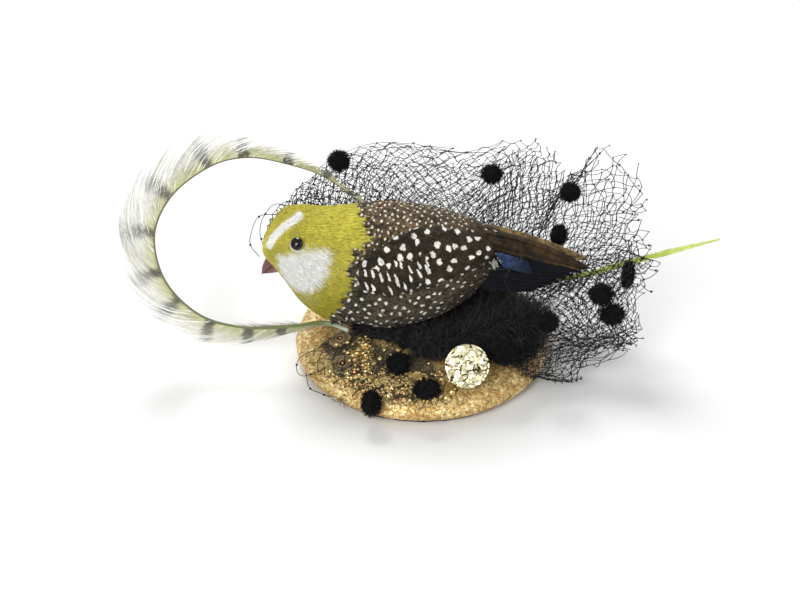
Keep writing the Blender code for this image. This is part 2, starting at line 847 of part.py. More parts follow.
def make_bird(drills):
    bird = bpy.data.objects.new("bird_frame", None)
    bird.location = BIRD_CENTRE
    bird.rotation_euler = (BIRD_ROLL, 0, 0)
    PARTS.objects.link(bird)
    bird_bodies(bird, drills)
    make_beak(bird)
    make_wing(bird, -1, "left")
    make_wing(bird, 1, "right")
    make_tail(bird)
    make_bird_wires()


# ---------------------------------------------------------------- loose feathers


def ribbon(name, line, widths, offsets, side_at, thickness):
    """A flat strip beside a line: it starts offset from the line and is width wide."""
    near, far = [], []
    for i, point in enumerate(line):
        side = side_at(i, line)
        near.append(point + side * offsets[i])
        far.append(point + side * (offsets[i] + widths[i]))
    return sheet(name, [near, far], thickness)


def tangent(i, line):
    return (line[min(i + 1, len(line) - 1)] - line[max(i - 1, 0)]).normalized()


def outward_of_loop(i, line):
    """Across the line, away from the middle of the loop."""
    middle = Vector((-64, 4, 48)) * MM
    along = tangent(i, line)
    away = line[i] - middle
    return (away - along * away.dot(along)).normalized()


def make_curled_feather():
    steps = 3
    line = smooth_line([Vector(p) * MM for p in FEATHER_LINE], steps)
    count = len(line)
    taper = [1 - (1 - SHAFT_TIP_SHARE) * i / (count - 1) for i in range(count)]
    shaft = tube("curled_feather_shaft", line, SHAFT_RADIUS, taper)
    place(shaft, PARTS, shaft_quill())

    widths = [w * MM for w in smooth_values(VANE_WIDTHS, steps)]
    first = next(i for i, w in enumerate(widths) if w > 1.0 * MM)
    offsets = [SHAFT_RADIUS * t + GAP for t in taper]
    vane = ribbon(
        "curled_feather_vane",
        line[first:],
        widths[first:],
        offsets[first:],
        outward_of_loop,
        VANE_THICKNESS,
    )
    place(vane, PARTS, cream_vane())


def make_green_feather():
    steps = 2
    line = smooth_line([Vector(p) * MM for p in GREEN_LINE], steps)
    widths = [w * MM for w in smooth_values(GREEN_WIDTHS, steps)]
    offsets = [-w / 2 for w in widths]

    def upwards(i, points):
        return tangent(i, points).cross(Vector((0, -1, 0))).normalized()

    feather = ribbon("green_feather", line, widths, offsets, upwards, GREEN_THICKNESS)
    place(feather, PARTS, lime_feather())


# ---------------------------------------------------------------- veiling and trims


def fan_grid(pairs, bulge, steps_along=2):
    """Points from each root to its edge, smooth along the piece and bulging in between."""
    roots = smooth_line([Vector(p[0]) * MM for p in pairs], steps_along)
    edges = smooth_line([Vector(p[1]) * MM for p in pairs], steps_along)
    grid = []
    for root, edge in zip(roots, edges, strict=True):
        row = []
        for k in range(SHEET_STEPS + 1):
            share = k / SHEET_STEPS
            row.append(root.lerp(edge, share) + bulge * math.sin(math.pi * share))
        grid.append(row)
    return grid


def dome_patch(start_angle, end_angle, inner_radius, outer_radius, lift, columns, rows):
    """A grid on the dome between two headings and two radii, lifted off its outer face."""
    grid = []
    for i in range(columns + 1):
        heading = math.radians(start_angle + (end_angle - start_angle) * i / columns)
        row = []
        for k in range(rows + 1):
            radius = inner_radius + (outer_radius - inner_radius) * k / rows
            x, y = radius * math.cos(heading), radius * math.sin(heading)
            row.append(Vector((x, y, dome_height(x, y))) + dome_normal(x, y) * lift)
        grid.append(row)
    return grid


def make_spots():
    """The chenille spots, and the slightly larger hollows that they leave in the veiling."""
    hollows = []
    for i, (centre, half_sizes) in enumerate(SPOTS, 1):
        place_at = Vector(centre) * MM
        size = Vector(half_sizes) * MM
        spot = ball(f"chenille_spot_{i:02d}", place_at, size, 10, 7)
        place(spot, PARTS, black_chenille())
        grown = size + Vector((1, 1, 1)) * 2 * GAP
        hollows.append(as_cutter(ball(f"spot_hollow_{i:02d}", place_at, grown, 10, 7)))
    return hollows


def make_veiling(hollows):
    back = sheet("veil_back", fan_grid(BACK_VEIL, Vector((0, 5, 0)) * MM), VEIL_THICKNESS)
    side = sheet("veil_side", fan_grid(SIDE_VEIL, Vector((0, -2, 0)) * MM), VEIL_THICKNESS)
    rear = sheet("veil_rear", fan_grid(REAR_VEIL, Vector((0, 2, 3)) * MM), VEIL_THICKNESS)
    patch = dome_patch(-152, -84, 34 * MM, 48.5 * MM, FRONT_VEIL_LIFT, 8, 4)
    front = sheet("veil_front", patch, FRONT_VEIL_THICKNESS)
    cuts = {back: hollows[:4], side: hollows[4:8], front: hollows[9:], rear: []}
    for veil, spots in cuts.items():
        for hollow in spots:
            boolean(veil, hollow)
        place(veil, PARTS, black_veiling())


def make_lace(hollows):
    lift = LACE_LIFT + LACE_THICKNESS / 2 + GAP / 2
    patch = dome_patch(-162, -86, 26 * MM, 46.5 * MM, lift, 8, 4)
    lace = sheet("lace_applique", patch, LACE_THICKNESS)
    for hollow in hollows[9:]:
        boolean(lace, hollow)
    place(lace, PARTS, olive_lace())
    for i, (x, y, radius) in enumerate(MOTIFS, 1):
        centre = Vector((x, y, dome_height(x, y))) + dome_normal(x, y) * (MOTIF_LIFT + 0.6 * MM)
        motif = cylinder(f"lace_flower_{i}", centre, radius, 0.9 * MM, sides=18)
        motif.rotation_euler = dome_normal(x, y).to_track_quat("Z", "Y").to_euler()
        place(motif, PARTS, olive_lace())
    for i, (x, y) in enumerate(BEADS, 1):
        x, y = x * MM, y * MM
        centre = Vector((x, y, dome_height(x, y))) + dome_normal(x, y) * (MOTIF_LIFT + 0.6 * MM)
        bead = ball(f"gold_bead_{i}", centre, (BEAD_RADIUS, BEAD_RADIUS, 0.6 * MM), 10, 6)
        bead.rotation_euler = dome_normal(x, y).to_track_quat("Z", "Y").to_euler()
        place(bead, PARTS, brass())


def make_disc():
    disc = cylinder("gold_disc", DISC_CENTRE, DISC_RADIUS, DISC_THICKNESS, sides=28)
    disc.rotation_euler = (DISC_TILT, 0, 0)
    place(disc, PARTS, brass())


def make_fluff():
    rings = []
    for x, y, z, radius in FLUFF_STATIONS:
        r = radius * MM
        rings.append(ellipse(x * MM, z * MM, r, r, y * MM, sides=12))
    place(loft("marabou_fluff", rings), PARTS, black_fluff())


# ---------------------------------------------------------------- assembly

clear_scene()
PARTS = new_collection("bird_fascinator")
CUTTERS = new_collection("cutters", hidden=True)
bird_wire_drills = wire_drills()
make_base(bird_wire_drills)
make_clip()
make_bird(bird_wire_drills)
make_curled_feather()
make_green_feather()
spot_hollows = make_spots()
make_veiling(spot_hollows)
make_lace(spot_hollows)
make_disc()
make_fluff()
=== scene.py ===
import json
import math

import bmesh
import bpy
import numpy as np
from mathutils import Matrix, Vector, noise


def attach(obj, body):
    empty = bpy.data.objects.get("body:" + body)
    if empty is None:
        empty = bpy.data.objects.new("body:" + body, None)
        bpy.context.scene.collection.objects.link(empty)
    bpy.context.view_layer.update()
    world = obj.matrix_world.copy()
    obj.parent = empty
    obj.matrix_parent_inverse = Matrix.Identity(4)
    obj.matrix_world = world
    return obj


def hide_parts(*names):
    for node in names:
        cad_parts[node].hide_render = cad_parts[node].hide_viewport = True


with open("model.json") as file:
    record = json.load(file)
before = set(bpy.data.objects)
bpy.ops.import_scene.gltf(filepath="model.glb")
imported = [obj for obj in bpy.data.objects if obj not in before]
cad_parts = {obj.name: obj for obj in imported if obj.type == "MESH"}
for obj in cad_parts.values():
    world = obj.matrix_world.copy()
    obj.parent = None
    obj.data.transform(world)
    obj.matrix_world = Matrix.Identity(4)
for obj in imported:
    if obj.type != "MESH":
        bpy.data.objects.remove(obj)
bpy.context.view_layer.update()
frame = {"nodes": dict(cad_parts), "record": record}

MM = 0.001
TAU = 2 * math.pi

# ---------------------------------------------------------------- sizes, in millimetres, as the CAD source has them
BASE_RADIUS = 50.0
EQUATOR_Z = 4.5
DOME_RISE = 12.0
BIRD_ORIGIN = (0.0, -3.0, 42.2)
BIRD_LEAN = math.radians(20)
# x, centre height, half height, half width
BIRD_STATIONS = (
    (-61.6, 6.7, 2.0, 2.0), (-60.3, 7.4, 5.6, 5.2), (-57.0, 8.6, 10.0, 8.8), (-52.7, 8.2, 14.8, 12.2),
    (-46.4, 4.6, 19.6, 15.2), (-37.5, 1.2, 22.4, 17.2), (-26.2, 0.7, 23.7, 18.6), (-14.1, 0.4, 24.9, 19.2),
    (-0.8, 0.8, 23.4, 18.8), (8.2, 1.5, 20.9, 17.2), (17.1, 2.9, 16.6, 14.0), (24.0, 5.0, 11.6, 10.0),
)
FEATHER_LINE = (
    (-24.7, -15, 17.7), (-37.2, -11, 20.5), (-50.7, -12, 19.6), (-69.2, -11, 18.3), (-86.6, -8, 22.2),
    (-99.4, -4, 35.6), (-102.6, 1, 53.5), (-95.3, 7, 67.6), (-80.1, 12, 77.6), (-65.8, 16, 78.8),
    (-50.5, 18.5, 74), (-38.8, 20.5, 68), (-28.1, 21.5, 59), (-18.4, 21.5, 49.8),
)
VANE_WIDTHS = (0, 0, 4, 9, 11, 12, 11.6, 12, 11, 9, 6, 3.5, 2, 1.2)
FEATHER_MIDDLE = (-64, 4, 48)
GREEN_LINE = ((50, -3, 31.2), (62.1, -3, 36.6), (73, -3, 41.2), (87.3, -3, 45.9), (98.5, -3, 49.5), (113.6, -3, 54.2))
GREEN_WIDTHS = (1.6, 2.2, 2.6, 2.6, 2.0, 0.7)
BACK_VEIL = (
    ((-24, 22, 20), (-53.5, 20, 57.3)), ((-20, 23, 20), (-43, 26, 66.4)), ((-15, 24, 20), (-30, 30, 74.9)),
    ((-6, 25, 20), (-8.6, 33, 77.6)), ((6, 25, 20), (16.9, 34, 73.5)), ((16, 25, 20), (38.6, 33, 77.6)),
    ((24, 24, 19), (49.5, 30, 73.1)), ((30, 22, 19), (59.5, 26, 63.7)), ((36, 20, 18), (70.2, 22, 78)),
    ((42, 17, 18), (84.1, 16, 65.2)), ((46, 13, 17), (86.5, 10, 49.8)), ((48, 10, 16), (91, 6, 35.4)),
)
SIDE_VEIL = (
    ((53, -7, 30), (84.6, -8, 53)), ((54, -9, 27), (87.1, -9, 41.6)), ((54, -11, 24), (84.3, -12, 32)),
    ((54, -14, 21), (84.9, -16, 18.3)), ((54, -17, 18), (84.6, -19, 13.3)), ((53, -20, 16), (68.4, -24, 10.8)),
    ((51, -22, 15), (59.8, -27, 3.6)), ((48, -24, 15), (49, -30, 5.7)),
)
SIDE_ROOTS = ((38, 4, 28), (40, -2, 26), (41, -8, 22), (41, -12, 19), (40, -16, 16), (38, -20, 14), (36, -24, 13), (33, -27, 12.5))
VEIL_WRAP = (
    ((-31, 15, 30), (-62.7, 12, 44.9)), ((-29, 18, 26), (-60, 14, 52.8)), ((-26, 20, 22), (-53.2, 17, 59.8)),
    ((-21, 23, 20), (-45, 23, 66.4)),
)
REAR_VEIL = (
    ((-26, 27, 19), (-36, 40, 9)), ((-12, 29, 20), (-18, 49, 8)), ((4, 30, 20), (4, 52, 9)),
    ((20, 29, 19), (26, 48, 8)), ((34, 25, 18), (44, 39, 9)),
)
SPOTS = (
    ((-32.4, 27, 70.8), (4.6, 4, 4.6)), ((27.5, 29, 63.7), (4.6, 4, 3.9)), ((57.7, 21, 60.3), (4.4, 4, 4.2)),
    ((53.7, 14, 44.9), (3.6, 3.6, 4.8)), ((78.7, -8, 40.9), (2.8, 2.8, 6.4)), ((68.6, -11.5, 34.4), (4.4, 4, 3.8)),
    ((73, -14, 26.6), (4.4, 4, 3.8)), ((47.4, -26, 31.6), (4.2, 3.6, 4.4)), ((31.5, -31, 21.3), (4.8, 4.4, 4.6)),
    ((-9.4, -34, 18.2), (4.8, 4.4, 4.6)), ((1.5, -45, 14.6), (5.8, 4.2, 4.2)), ((-19.4, -48.6, 10.4), (4.2, 4.2, 5.8)),
)
TWIN_SPOTS = (6, 7)
# x, y, z, radius
FLUFF = (
    (-5, -25, 20.6, 2), (1, -25, 20.6, 3.6), (8, -24, 20.8, 4.4), (20, -20.5, 21.2, 6), (31, -15, 21.8, 7.4),
    (40, -13, 22.4, 7.4), (46, -13, 22.6, 4),
)
DISC_CENTRE = (16.7, -37, 19.1)
DISC_RADIUS = 8.8
DISC_TILT = math.radians(52)
FLUFF_FRONT = ((-28, -11), (-16, -16), (-8, -20.5), (-2.5, -22.5), (3, -22), (9, -22), (26, -25), (30, -28), (37.6, -25), (45, -17), (49, -8))
FLOWERS = (((-31.9, -14.1), 4.0), ((-30.4, -27.8), 4.4))

# ---------------------------------------------------------------- colours, linear
YELLOW = (0.64, 0.575, 0.075)
YELLOW_SHADE = (0.44, 0.385, 0.006)
DOWN_WHITE = (1.0, 1.0, 0.96)
CREAM = (0.97, 0.96, 0.88)
CREAM_GREEN = (0.60, 0.60, 0.27)
BAR_GREY = (0.085, 0.083, 0.072)
FRINGE_TAN = (0.42, 0.35, 0.27)
LIME = (0.78, 0.86, 0.28)
LIME_DEEP = (0.46, 0.60, 0.08)
BLACK = (0.0075, 0.0080, 0.0105)
LACE_OLIVE = (0.12, 0.092, 0.042)
LACE_COPPER = (0.30, 0.20, 0.085)
GOLD = (0.90, 0.62, 0.24)


# ---------------------------------------------------------------- mesh tools
class Pile:
    """Points and faces gathered in millimetres for one piece, with a tint and a fibre coordinate for each point."""

    def __init__(self):
        self.count = 0
        self.points, self.tints, self.fibres = [], [], []
        self.loops, self.sizes, self.kinds = [], [], []

    def add(self, points, faces, tint, fibre=None, kind=0):
        points = np.asarray(points, float).reshape(-1, 3)
        number = len(points)
        self.points.append(points)
        self.tints.append(np.broadcast_to(np.asarray(tint, float), (number, 3)))
        self.fibres.append(np.zeros((number, 2)) if fibre is None else np.asarray(fibre, float).reshape(-1, 2))
        for group in faces:
            group = np.asarray(group, int)
            self.loops.append((group + self.count).ravel())
            self.sizes.append(np.full(len(group), group.shape[1]))
            self.kinds.append(np.full(len(group), kind))
        self.count += number

    def mesh(self, name, smooth=True):
        points = np.concatenate(self.points)
        loops = np.concatenate(self.loops)
        sizes = np.concatenate(self.sizes)
        mesh = bpy.data.meshes.new(name)
        mesh.vertices.add(len(points))
        mesh.vertices.foreach_set("co", (points * MM).astype(np.float32).ravel())
        mesh.loops.add(len(loops))
        mesh.loops.foreach_set("vertex_index", loops.astype(np.int32))
        mesh.polygons.add(len(sizes))
        mesh.polygons.foreach_set("loop_start", np.concatenate([[0], np.cumsum(sizes)[:-1]]).astype(np.int32))
        mesh.polygons.foreach_set("material_index", np.concatenate(self.kinds).astype(np.int32))
        mesh.polygons.foreach_set("use_smooth", np.full(len(sizes), smooth))
        mesh.update(calc_edges=True)
        tint = mesh.color_attributes.new("tint", "FLOAT_COLOR", "POINT")
        colours = np.concatenate([np.concatenate(self.tints), np.ones((len(points), 1))], axis=1)
        tint.data.foreach_set("color", colours.astype(np.float32).ravel())
        layer = mesh.uv_layers.new(name="fibre")
        layer.data.foreach_set("uv", np.concatenate(self.fibres)[loops].astype(np.float32).ravel())
        return mesh


def unit(vectors):
    vectors = np.asarray(vectors, float)
    return vectors / np.maximum(np.linalg.norm(vectors, axis=-1, keepdims=True), 1e-9)


def bundle(pile, paths, radii, sides=3, tint=(1, 1, 1), face_up=(0.21, 0.93, 0.3), flat=1.0, cup=0.0, kind=0,
           closed=True, shift=None):
    """Tubes along many paths of the same number of points. flat thins them across face_up, so a blade is a flat tube."""
    paths = np.asarray(paths, float)
    if paths.ndim == 2:
        paths = paths[None]
    count, steps, _ = paths.shape
    radii = np.broadcast_to(np.asarray(radii, float), (count, steps))
    along = unit(np.gradient(paths, axis=1))
    face_up = np.asarray(face_up, float)
    if face_up.ndim == 2:
        face_up = face_up[:, None, :]
    across = unit(np.cross(along, np.broadcast_to(face_up, along.shape)))
    up = np.cross(across, along)
    turn = np.arange(sides) * TAU / sides
    wide = np.cos(turn)[None, None, :] * radii[:, :, None]
    tall = -np.sin(turn)[None, None, :] * radii[:, :, None] * flat - cup * np.cos(turn)[None, None, :] ** 2 * radii[:, :, None]
    ring = paths[:, :, None, :] + wide[..., None] * across[:, :, None, :] + tall[..., None] * up[:, :, None, :]
    index = np.arange(count * steps * sides).reshape(count, steps, sides)
    after = np.roll(index, -1, axis=2)
    faces = [np.stack([index[:, :-1], after[:, :-1], after[:, 1:], index[:, 1:]], axis=-1).reshape(-1, 4)]
    if closed:
        faces.append(index[:, 0, ::-1])
        faces.append(index[:, -1, :])
    length = np.concatenate([np.zeros((count, 1)), np.cumsum(np.linalg.norm(np.diff(paths, axis=1), axis=2), axis=1)], axis=1)
    fibre = np.stack([wide, np.broadcast_to(length[:, :, None], wide.shape)], axis=-1)
    if shift is not None:
        fibre = fibre + np.asarray(shift)[:, None, None, :]
    tint = np.asarray(tint, float)
    if tint.ndim == 2:
        tint = tint[:, None, None, :]
    elif tint.ndim == 3:
        tint = tint[:, :, None, :]
    tint = np.broadcast_to(tint, ring.shape)
    pile.add(ring.reshape(-1, 3), faces, tint.reshape(-1, 3), fibre.reshape(-1, 2), kind)


def ball(pile, centre, half, tint=(1, 1, 1), rings=8, sides=12, rough=0.0, seed=0, kind=0):
    """A rounded closed lump with its own unevenness."""
    polar = np.linspace(0, math.pi, rings + 1)[1:-1]
    turn = np.arange(sides) * TAU / sides
    d = np.stack([np.sin(polar)[:, None] * np.cos(turn), np.sin(polar)[:, None] * np.sin(turn),
                  np.broadcast_to(np.cos(polar)[:, None], (rings - 1, sides))], axis=-1).reshape(-1, 3)
    d = np.concatenate([d, [[0, 0, 1], [0, 0, -1]]])
    if rough:
        d = d * np.array([1 + rough * noise.noise(Vector(p) * 2.3 + Vector((seed, 0, 0))) for p in d])[:, None]
    index = np.arange((rings - 1) * sides).reshape(rings - 1, sides)
    after = np.roll(index, -1, axis=1)
    quads = np.stack([index[:-1], index[1:], after[1:], after[:-1]], axis=-1).reshape(-1, 4)
    top, bottom = (rings - 1) * sides, (rings - 1) * sides + 1
    caps = [(top, index[0, k], after[0, k]) for k in range(sides)] + [(bottom, after[-1, k], index[-1, k]) for k in range(sides)]
    pile.add(np.asarray(centre) + d * np.asarray(half), [quads, caps], tint, kind=kind)


def spline(points, count):
    """A smooth line through the points, with count points on it (Catmull-Rom)."""
    p = np.asarray(points, float)
    p = np.concatenate([[2 * p[0] - p[1]], p, [2 * p[-1] - p[-2]]])
    place = np.linspace(0, len(p) - 3, count)
    i = np.minimum(place.astype(int), len(p) - 4)
    t = (place - i)[:, None]
    a, b, c, d = p[i], p[i + 1], p[i + 2], p[i + 3]
    return 0.5 * (2 * b + (c - a) * t + (2 * a - 5 * b + 4 * c - d) * t ** 2 + (3 * b - a - 3 * c + d) * t ** 3)


def wobble(points, scale, seed, octaves=1):
    """A smooth random vector for each point, each part from -1 to 1."""
    points = np.asarray(points, float).reshape(-1, 3)
    out = np.zeros_like(points)
    for k in range(octaves):
        for axis in range(3):
            out[:, axis] += value_noise(points * 2 ** k, scale, seed + 0.37 * k + 11.3 * axis) / 2 ** k
    return out


def value_noise(points, scale, seed):
    shift = Vector((seed * 5.1, seed * 2.3, seed * 9.7))
    return np.array([noise.noise(Vector(p) / scale + shift) for p in np.asarray(points, float).reshape(-1, 3)])


def piece(name, pile, look, body="base", stands_for=(), smooth=True):
    mesh = pile.mesh(name, smooth)
    for one in look if isinstance(look, (list, tuple)) else [look]:
        mesh.materials.append(one)
    obj = bpy.data.objects.new(name, mesh)
    bpy.context.scene.collection.objects.link(obj)
    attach(obj, body)
    if stands_for:
        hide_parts(*stands_for)
    return obj


# ---------------------------------------------------------------- materials
class Look:
    """A material with short ways to add its nodes."""

    def __init__(self, name, rough=0.6, metal=0.0, colour=(0.5, 0.5, 0.5), **sockets):
        self.mat = bpy.data.materials.new(name)
        self.mat.use_nodes = True
        self.nodes, self.links = self.mat.node_tree.nodes, self.mat.node_tree.links
        self.shader = self.nodes["Principled BSDF"]
        self.shader.inputs["Roughness"].default_value = rough
        self.shader.inputs["Metallic"].default_value = metal
        self.shader.inputs["Base Color"].default_value = (*colour, 1)
        for key, value in sockets.items():
            self.shader.inputs[key.replace("_", " ")].default_value = value

    def new(self, kind, inputs=None, **settings):
        node = self.nodes.new(kind)
        for key, value in settings.items():
            setattr(node, key, value)
        for key, value in (inputs or {}).items():
            if isinstance(value, bpy.types.NodeSocket):
                self.links.new(value, node.inputs[key])
            else:
                node.inputs[key].default_value = value
        return node

    def place(self):
        return self.new("ShaderNodeTexCoord").outputs["Object"]

    def fibre(self, across=1.0, along=1.0):
        uv = self.new("ShaderNodeUVMap", uv_map="fibre").outputs["UV"]
        return self.new("ShaderNodeMapping", {"Vector": uv, "Scale": (across, along, 1)}).outputs["Vector"]

    def tint(self):
        return self.new("ShaderNodeAttribute", attribute_name="tint").outputs["Color"]

    def grain(self, where, scale, detail=3.0, rough=0.55, distortion=0.0):
        return self.new("ShaderNodeTexNoise", {"Vector": where, "Scale": scale, "Detail": detail, "Roughness": rough,
                                               "Distortion": distortion}).outputs["Fac"]

    def cells(self, where, scale, feature="F1", randomness=1.0, dimensions="3D"):
        return self.new("ShaderNodeTexVoronoi", {"Vector": where, "Scale": scale, "Randomness": randomness},
                        feature=feature, voronoi_dimensions=dimensions).outputs["Distance"]

    def cell_value(self, where, scale):
        """One random value for each cell."""
        colour = self.new("ShaderNodeTexVoronoi", {"Vector": where, "Scale": scale}).outputs["Color"]
        return self.new("ShaderNodeSeparateColor", {"Color": colour}).outputs["Red"]

    def wave(self, where, scale, distortion=0.0, detail=0.0, direction="X"):
        return self.new("ShaderNodeTexWave", {"Vector": where, "Scale": scale, "Distortion": distortion, "Detail": detail},
                        bands_direction=direction).outputs["Fac"]

    def steps(self, value, *stops):
        """A colour ramp: stops are (place, colour)."""
        ramp = self.new("ShaderNodeValToRGB", {"Fac": value})
        while len(ramp.color_ramp.elements) < len(stops):
            ramp.color_ramp.elements.new(0.5)
        for element, (place, colour) in zip(ramp.color_ramp.elements, stops):
            element.position = place
            element.color = (*colour, 1) if isinstance(colour, (tuple, list)) else (colour, colour, colour, 1)
        return ramp.outputs["Color"]

    def mix(self, factor, a, b, blend="MIX"):
        node = self.nodes.new("ShaderNodeMix")
        node.data_type = "RGBA"
        node.blend_type = blend
        for key, value in ((0, factor), (6, a), (7, b)):
            if isinstance(value, bpy.types.NodeSocket):
                self.links.new(value, node.inputs[key])
            elif key:
                node.inputs[key].default_value = (*value, 1)
            else:
                node.inputs[key].default_value = value
        return node.outputs[2]

    def maths(self, operation, a, b=0.0):
        node = self.new("ShaderNodeMath", operation=operation)
        for key, value in ((0, a), (1, b)):
            if isinstance(value, bpy.types.NodeSocket):
                self.links.new(value, node.inputs[key])
            else:
                node.inputs[key].default_value = value
        return node.outputs[0]

    def bump(self, height, strength=0.5, distance=0.3):
        previous = self.shader.inputs["Normal"].links
        node = self.new("ShaderNodeBump", {"Height": height, "Strength": strength, "Distance": distance * MM})
        if previous:
            self.links.new(previous[0].from_socket, node.inputs["Normal"])
        self.links.new(node.outputs["Normal"], self.shader.inputs["Normal"])

    def colour(self, socket):
        self.links.new(socket, self.shader.inputs["Base Color"])

    def roughness(self, socket):
        self.links.new(socket, self.shader.inputs["Roughness"])


def gold_leather():
    look = Look("gold_leather", rough=0.38, metal=0.55, Specular_IOR_Level=0.5)
    where = look.place()
    grains = look.cell_value(where, 1050)
    base = look.steps(grains, (0.12, (0.60, 0.39, 0.13)), (0.45, (0.92, 0.65, 0.26)), (0.85, (1.0, 0.87, 0.49)))
    patches = look.steps(look.grain(where, 110, 5, 0.6), (0.36, (0.66, 0.56, 0.40)), (0.60, (1.08, 1.06, 1.04)))
    base = look.mix(1.0, base, patches, "MULTIPLY")
    bent = look.new("ShaderNodeVectorMath", {0: where, 1: look.new("ShaderNodeVectorMath", {
        0: look.new("ShaderNodeTexNoise", {"Vector": where, "Scale": 300.0, "Detail": 3.0}).outputs["Color"],
        "Scale": 0.003}, operation="SCALE").outputs["Vector"]}, operation="ADD").outputs["Vector"]
    shaded_creases = look.steps(look.cells(bent, 420, "DISTANCE_TO_EDGE"), (0.0, 1.0), (0.08, 0.0))
    # painted shade: the grooves of the crinkles are darkened towards dark brown, and the same mask bumps them in
    look.colour(look.mix(look.maths("MULTIPLY", shaded_creases, 0.65), base, (0.17, 0.075, 0.018)))
    look.roughness(look.steps(look.cell_value(where, 1500), (0.2, 0.22), (0.8, 0.55)))
    look.bump(look.maths("SUBTRACT", 1.0, shaded_creases), 0.5, 0.25)
    look.bump(grains, 0.45, 0.18)
    look.bump(look.grain(where, 420, 6, 0.65), 0.85, 0.55)
    return look.mat


def cloth(name, dark, light, rib=1500, rough=0.9, sheen=0.3):
    """Ribbed or felted cloth."""
    look = Look(name, rough=rough, Sheen_Weight=sheen, Sheen_Roughness=0.5)
    where = look.place()
    fuzz = look.grain(where, rib, 6, 0.7, 0.8)
    look.colour(look.steps(fuzz, (0.3, dark), (0.75, light)))
    look.bump(fuzz, 0.6, 0.15)
    look.bump(look.grain(where, rib / 4, 3), 0.3, 0.25)
    return look.mat


def buckram():
    look = Look("buckram", rough=0.85)
    where = look.place()
    weft = look.wave(where, 260, 0.6, 1, "X")
    warp = look.wave(where, 260, 0.6, 1, "Y")
    weave = look.maths("MAXIMUM", weft, warp)
    look.colour(look.steps(weave, (0.3, (0.02, 0.02, 0.02)), (0.9, (0.10, 0.095, 0.09))))
    look.bump(weave, 0.8, 0.3)
    return look.mat


def steel(name="steel", colour=(0.60, 0.60, 0.62), rough=0.3):
    look = Look(name, rough=rough, metal=1.0)
    where = look.place()
    scratch = look.grain(look.new("ShaderNodeMapping", {"Vector": where, "Scale": (0.12, 1, 1)}).outputs["Vector"], 3800, 3)
    look.colour(look.steps(scratch, (0.3, tuple(c * 0.72 for c in colour)), (0.7, colour)))
    look.roughness(look.steps(look.grain(where, 260, 4), (0.3, rough * 0.8), (0.75, rough * 1.6)))
    look.bump(scratch, 0.12, 0.03)
    return look.mat


def foam():
    look = Look("foam", rough=0.95)
    where = look.place()
    bubbles = look.cells(where, 1100)
    # painted shade: the foam is darker in the pits of its bubbles, which the same mask bumps in
    look.colour(look.steps(bubbles, (0.0, (0.60, 0.58, 0.52)), (0.5, (0.86, 0.85, 0.80))))
    look.bump(bubbles, 0.7, 0.3)
    return look.mat


def fibres(name, rough=0.8, sheen=0.35, tint_spread=0.25, streak=3.0, sheen_tint=(1, 1, 1)):
    """Threads, hairs and barbs: the tint of each fibre, with fine lines along it."""
    look = Look(name, rough=rough, Sheen_Weight=sheen, Sheen_Roughness=0.4, Specular_IOR_Level=0.3)
    look.shader.inputs["Sheen Tint"].default_value = (*sheen_tint, 1)
    lines = look.grain(look.fibre(streak * 4, streak * 0.4), 1.0, 3)
    shade = look.steps(lines, (0.25, 1 - tint_spread), (0.75, 1 + tint_spread * 0.6))
    look.colour(look.mix(1.0, look.tint(), shade, "MULTIPLY"))
    look.bump(lines, 0.35, 0.08)
    return look.mat


def barbs(look, strength=0.5):
    """Bump and shade of a feather's barbs, which run out and forward from its shaft."""
    uv = look.new("ShaderNodeUVMap", uv_map="fibre").outputs["UV"]
    split = look.new("ShaderNodeSeparateXYZ", {"Vector": uv})
    slant = look.maths("SUBTRACT", split.outputs["Y"], look.maths("MULTIPLY", look.maths("ABSOLUTE", split.outputs["X"]), 1.1))
    lines = look.maths("SINE", look.maths("MULTIPLY", slant, 15.0))
    lines = look.maths("MULTIPLY", look.maths("ADD", lines, 1.0), 0.5)
    look.bump(lines, strength, 0.12)
    shaft = look.steps(look.maths("ABSOLUTE", split.outputs["X"]), (0.08, 1.0), (0.22, 0.0))
    return lines, shaft, split


def body_place(look):
    """The place on the bird's body: the distance along it, and the distance round it from its left side."""
    c, s = math.cos(BIRD_LEAN), math.sin(BIRD_LEAN)
    x, y, z = BIRD_ORIGIN
    shift = (-x * MM, (z * s - y * c) * MM, -(y * s + z * c) * MM)
    local = look.new("ShaderNodeMapping", {"Vector": look.place(), "Rotation": (BIRD_LEAN, 0, 0), "Location": shift})
    split = look.new("ShaderNodeSeparateXYZ", {"Vector": local.outputs["Vector"]})
    turn = look.maths("ARCTAN2", split.outputs["Z"], look.maths("MULTIPLY", split.outputs["Y"], -1.0))
    return look.new("ShaderNodeCombineXYZ", {"X": split.outputs["X"], "Y": look.maths("MULTIPLY", turn, 20 * MM)}).outputs["Vector"]


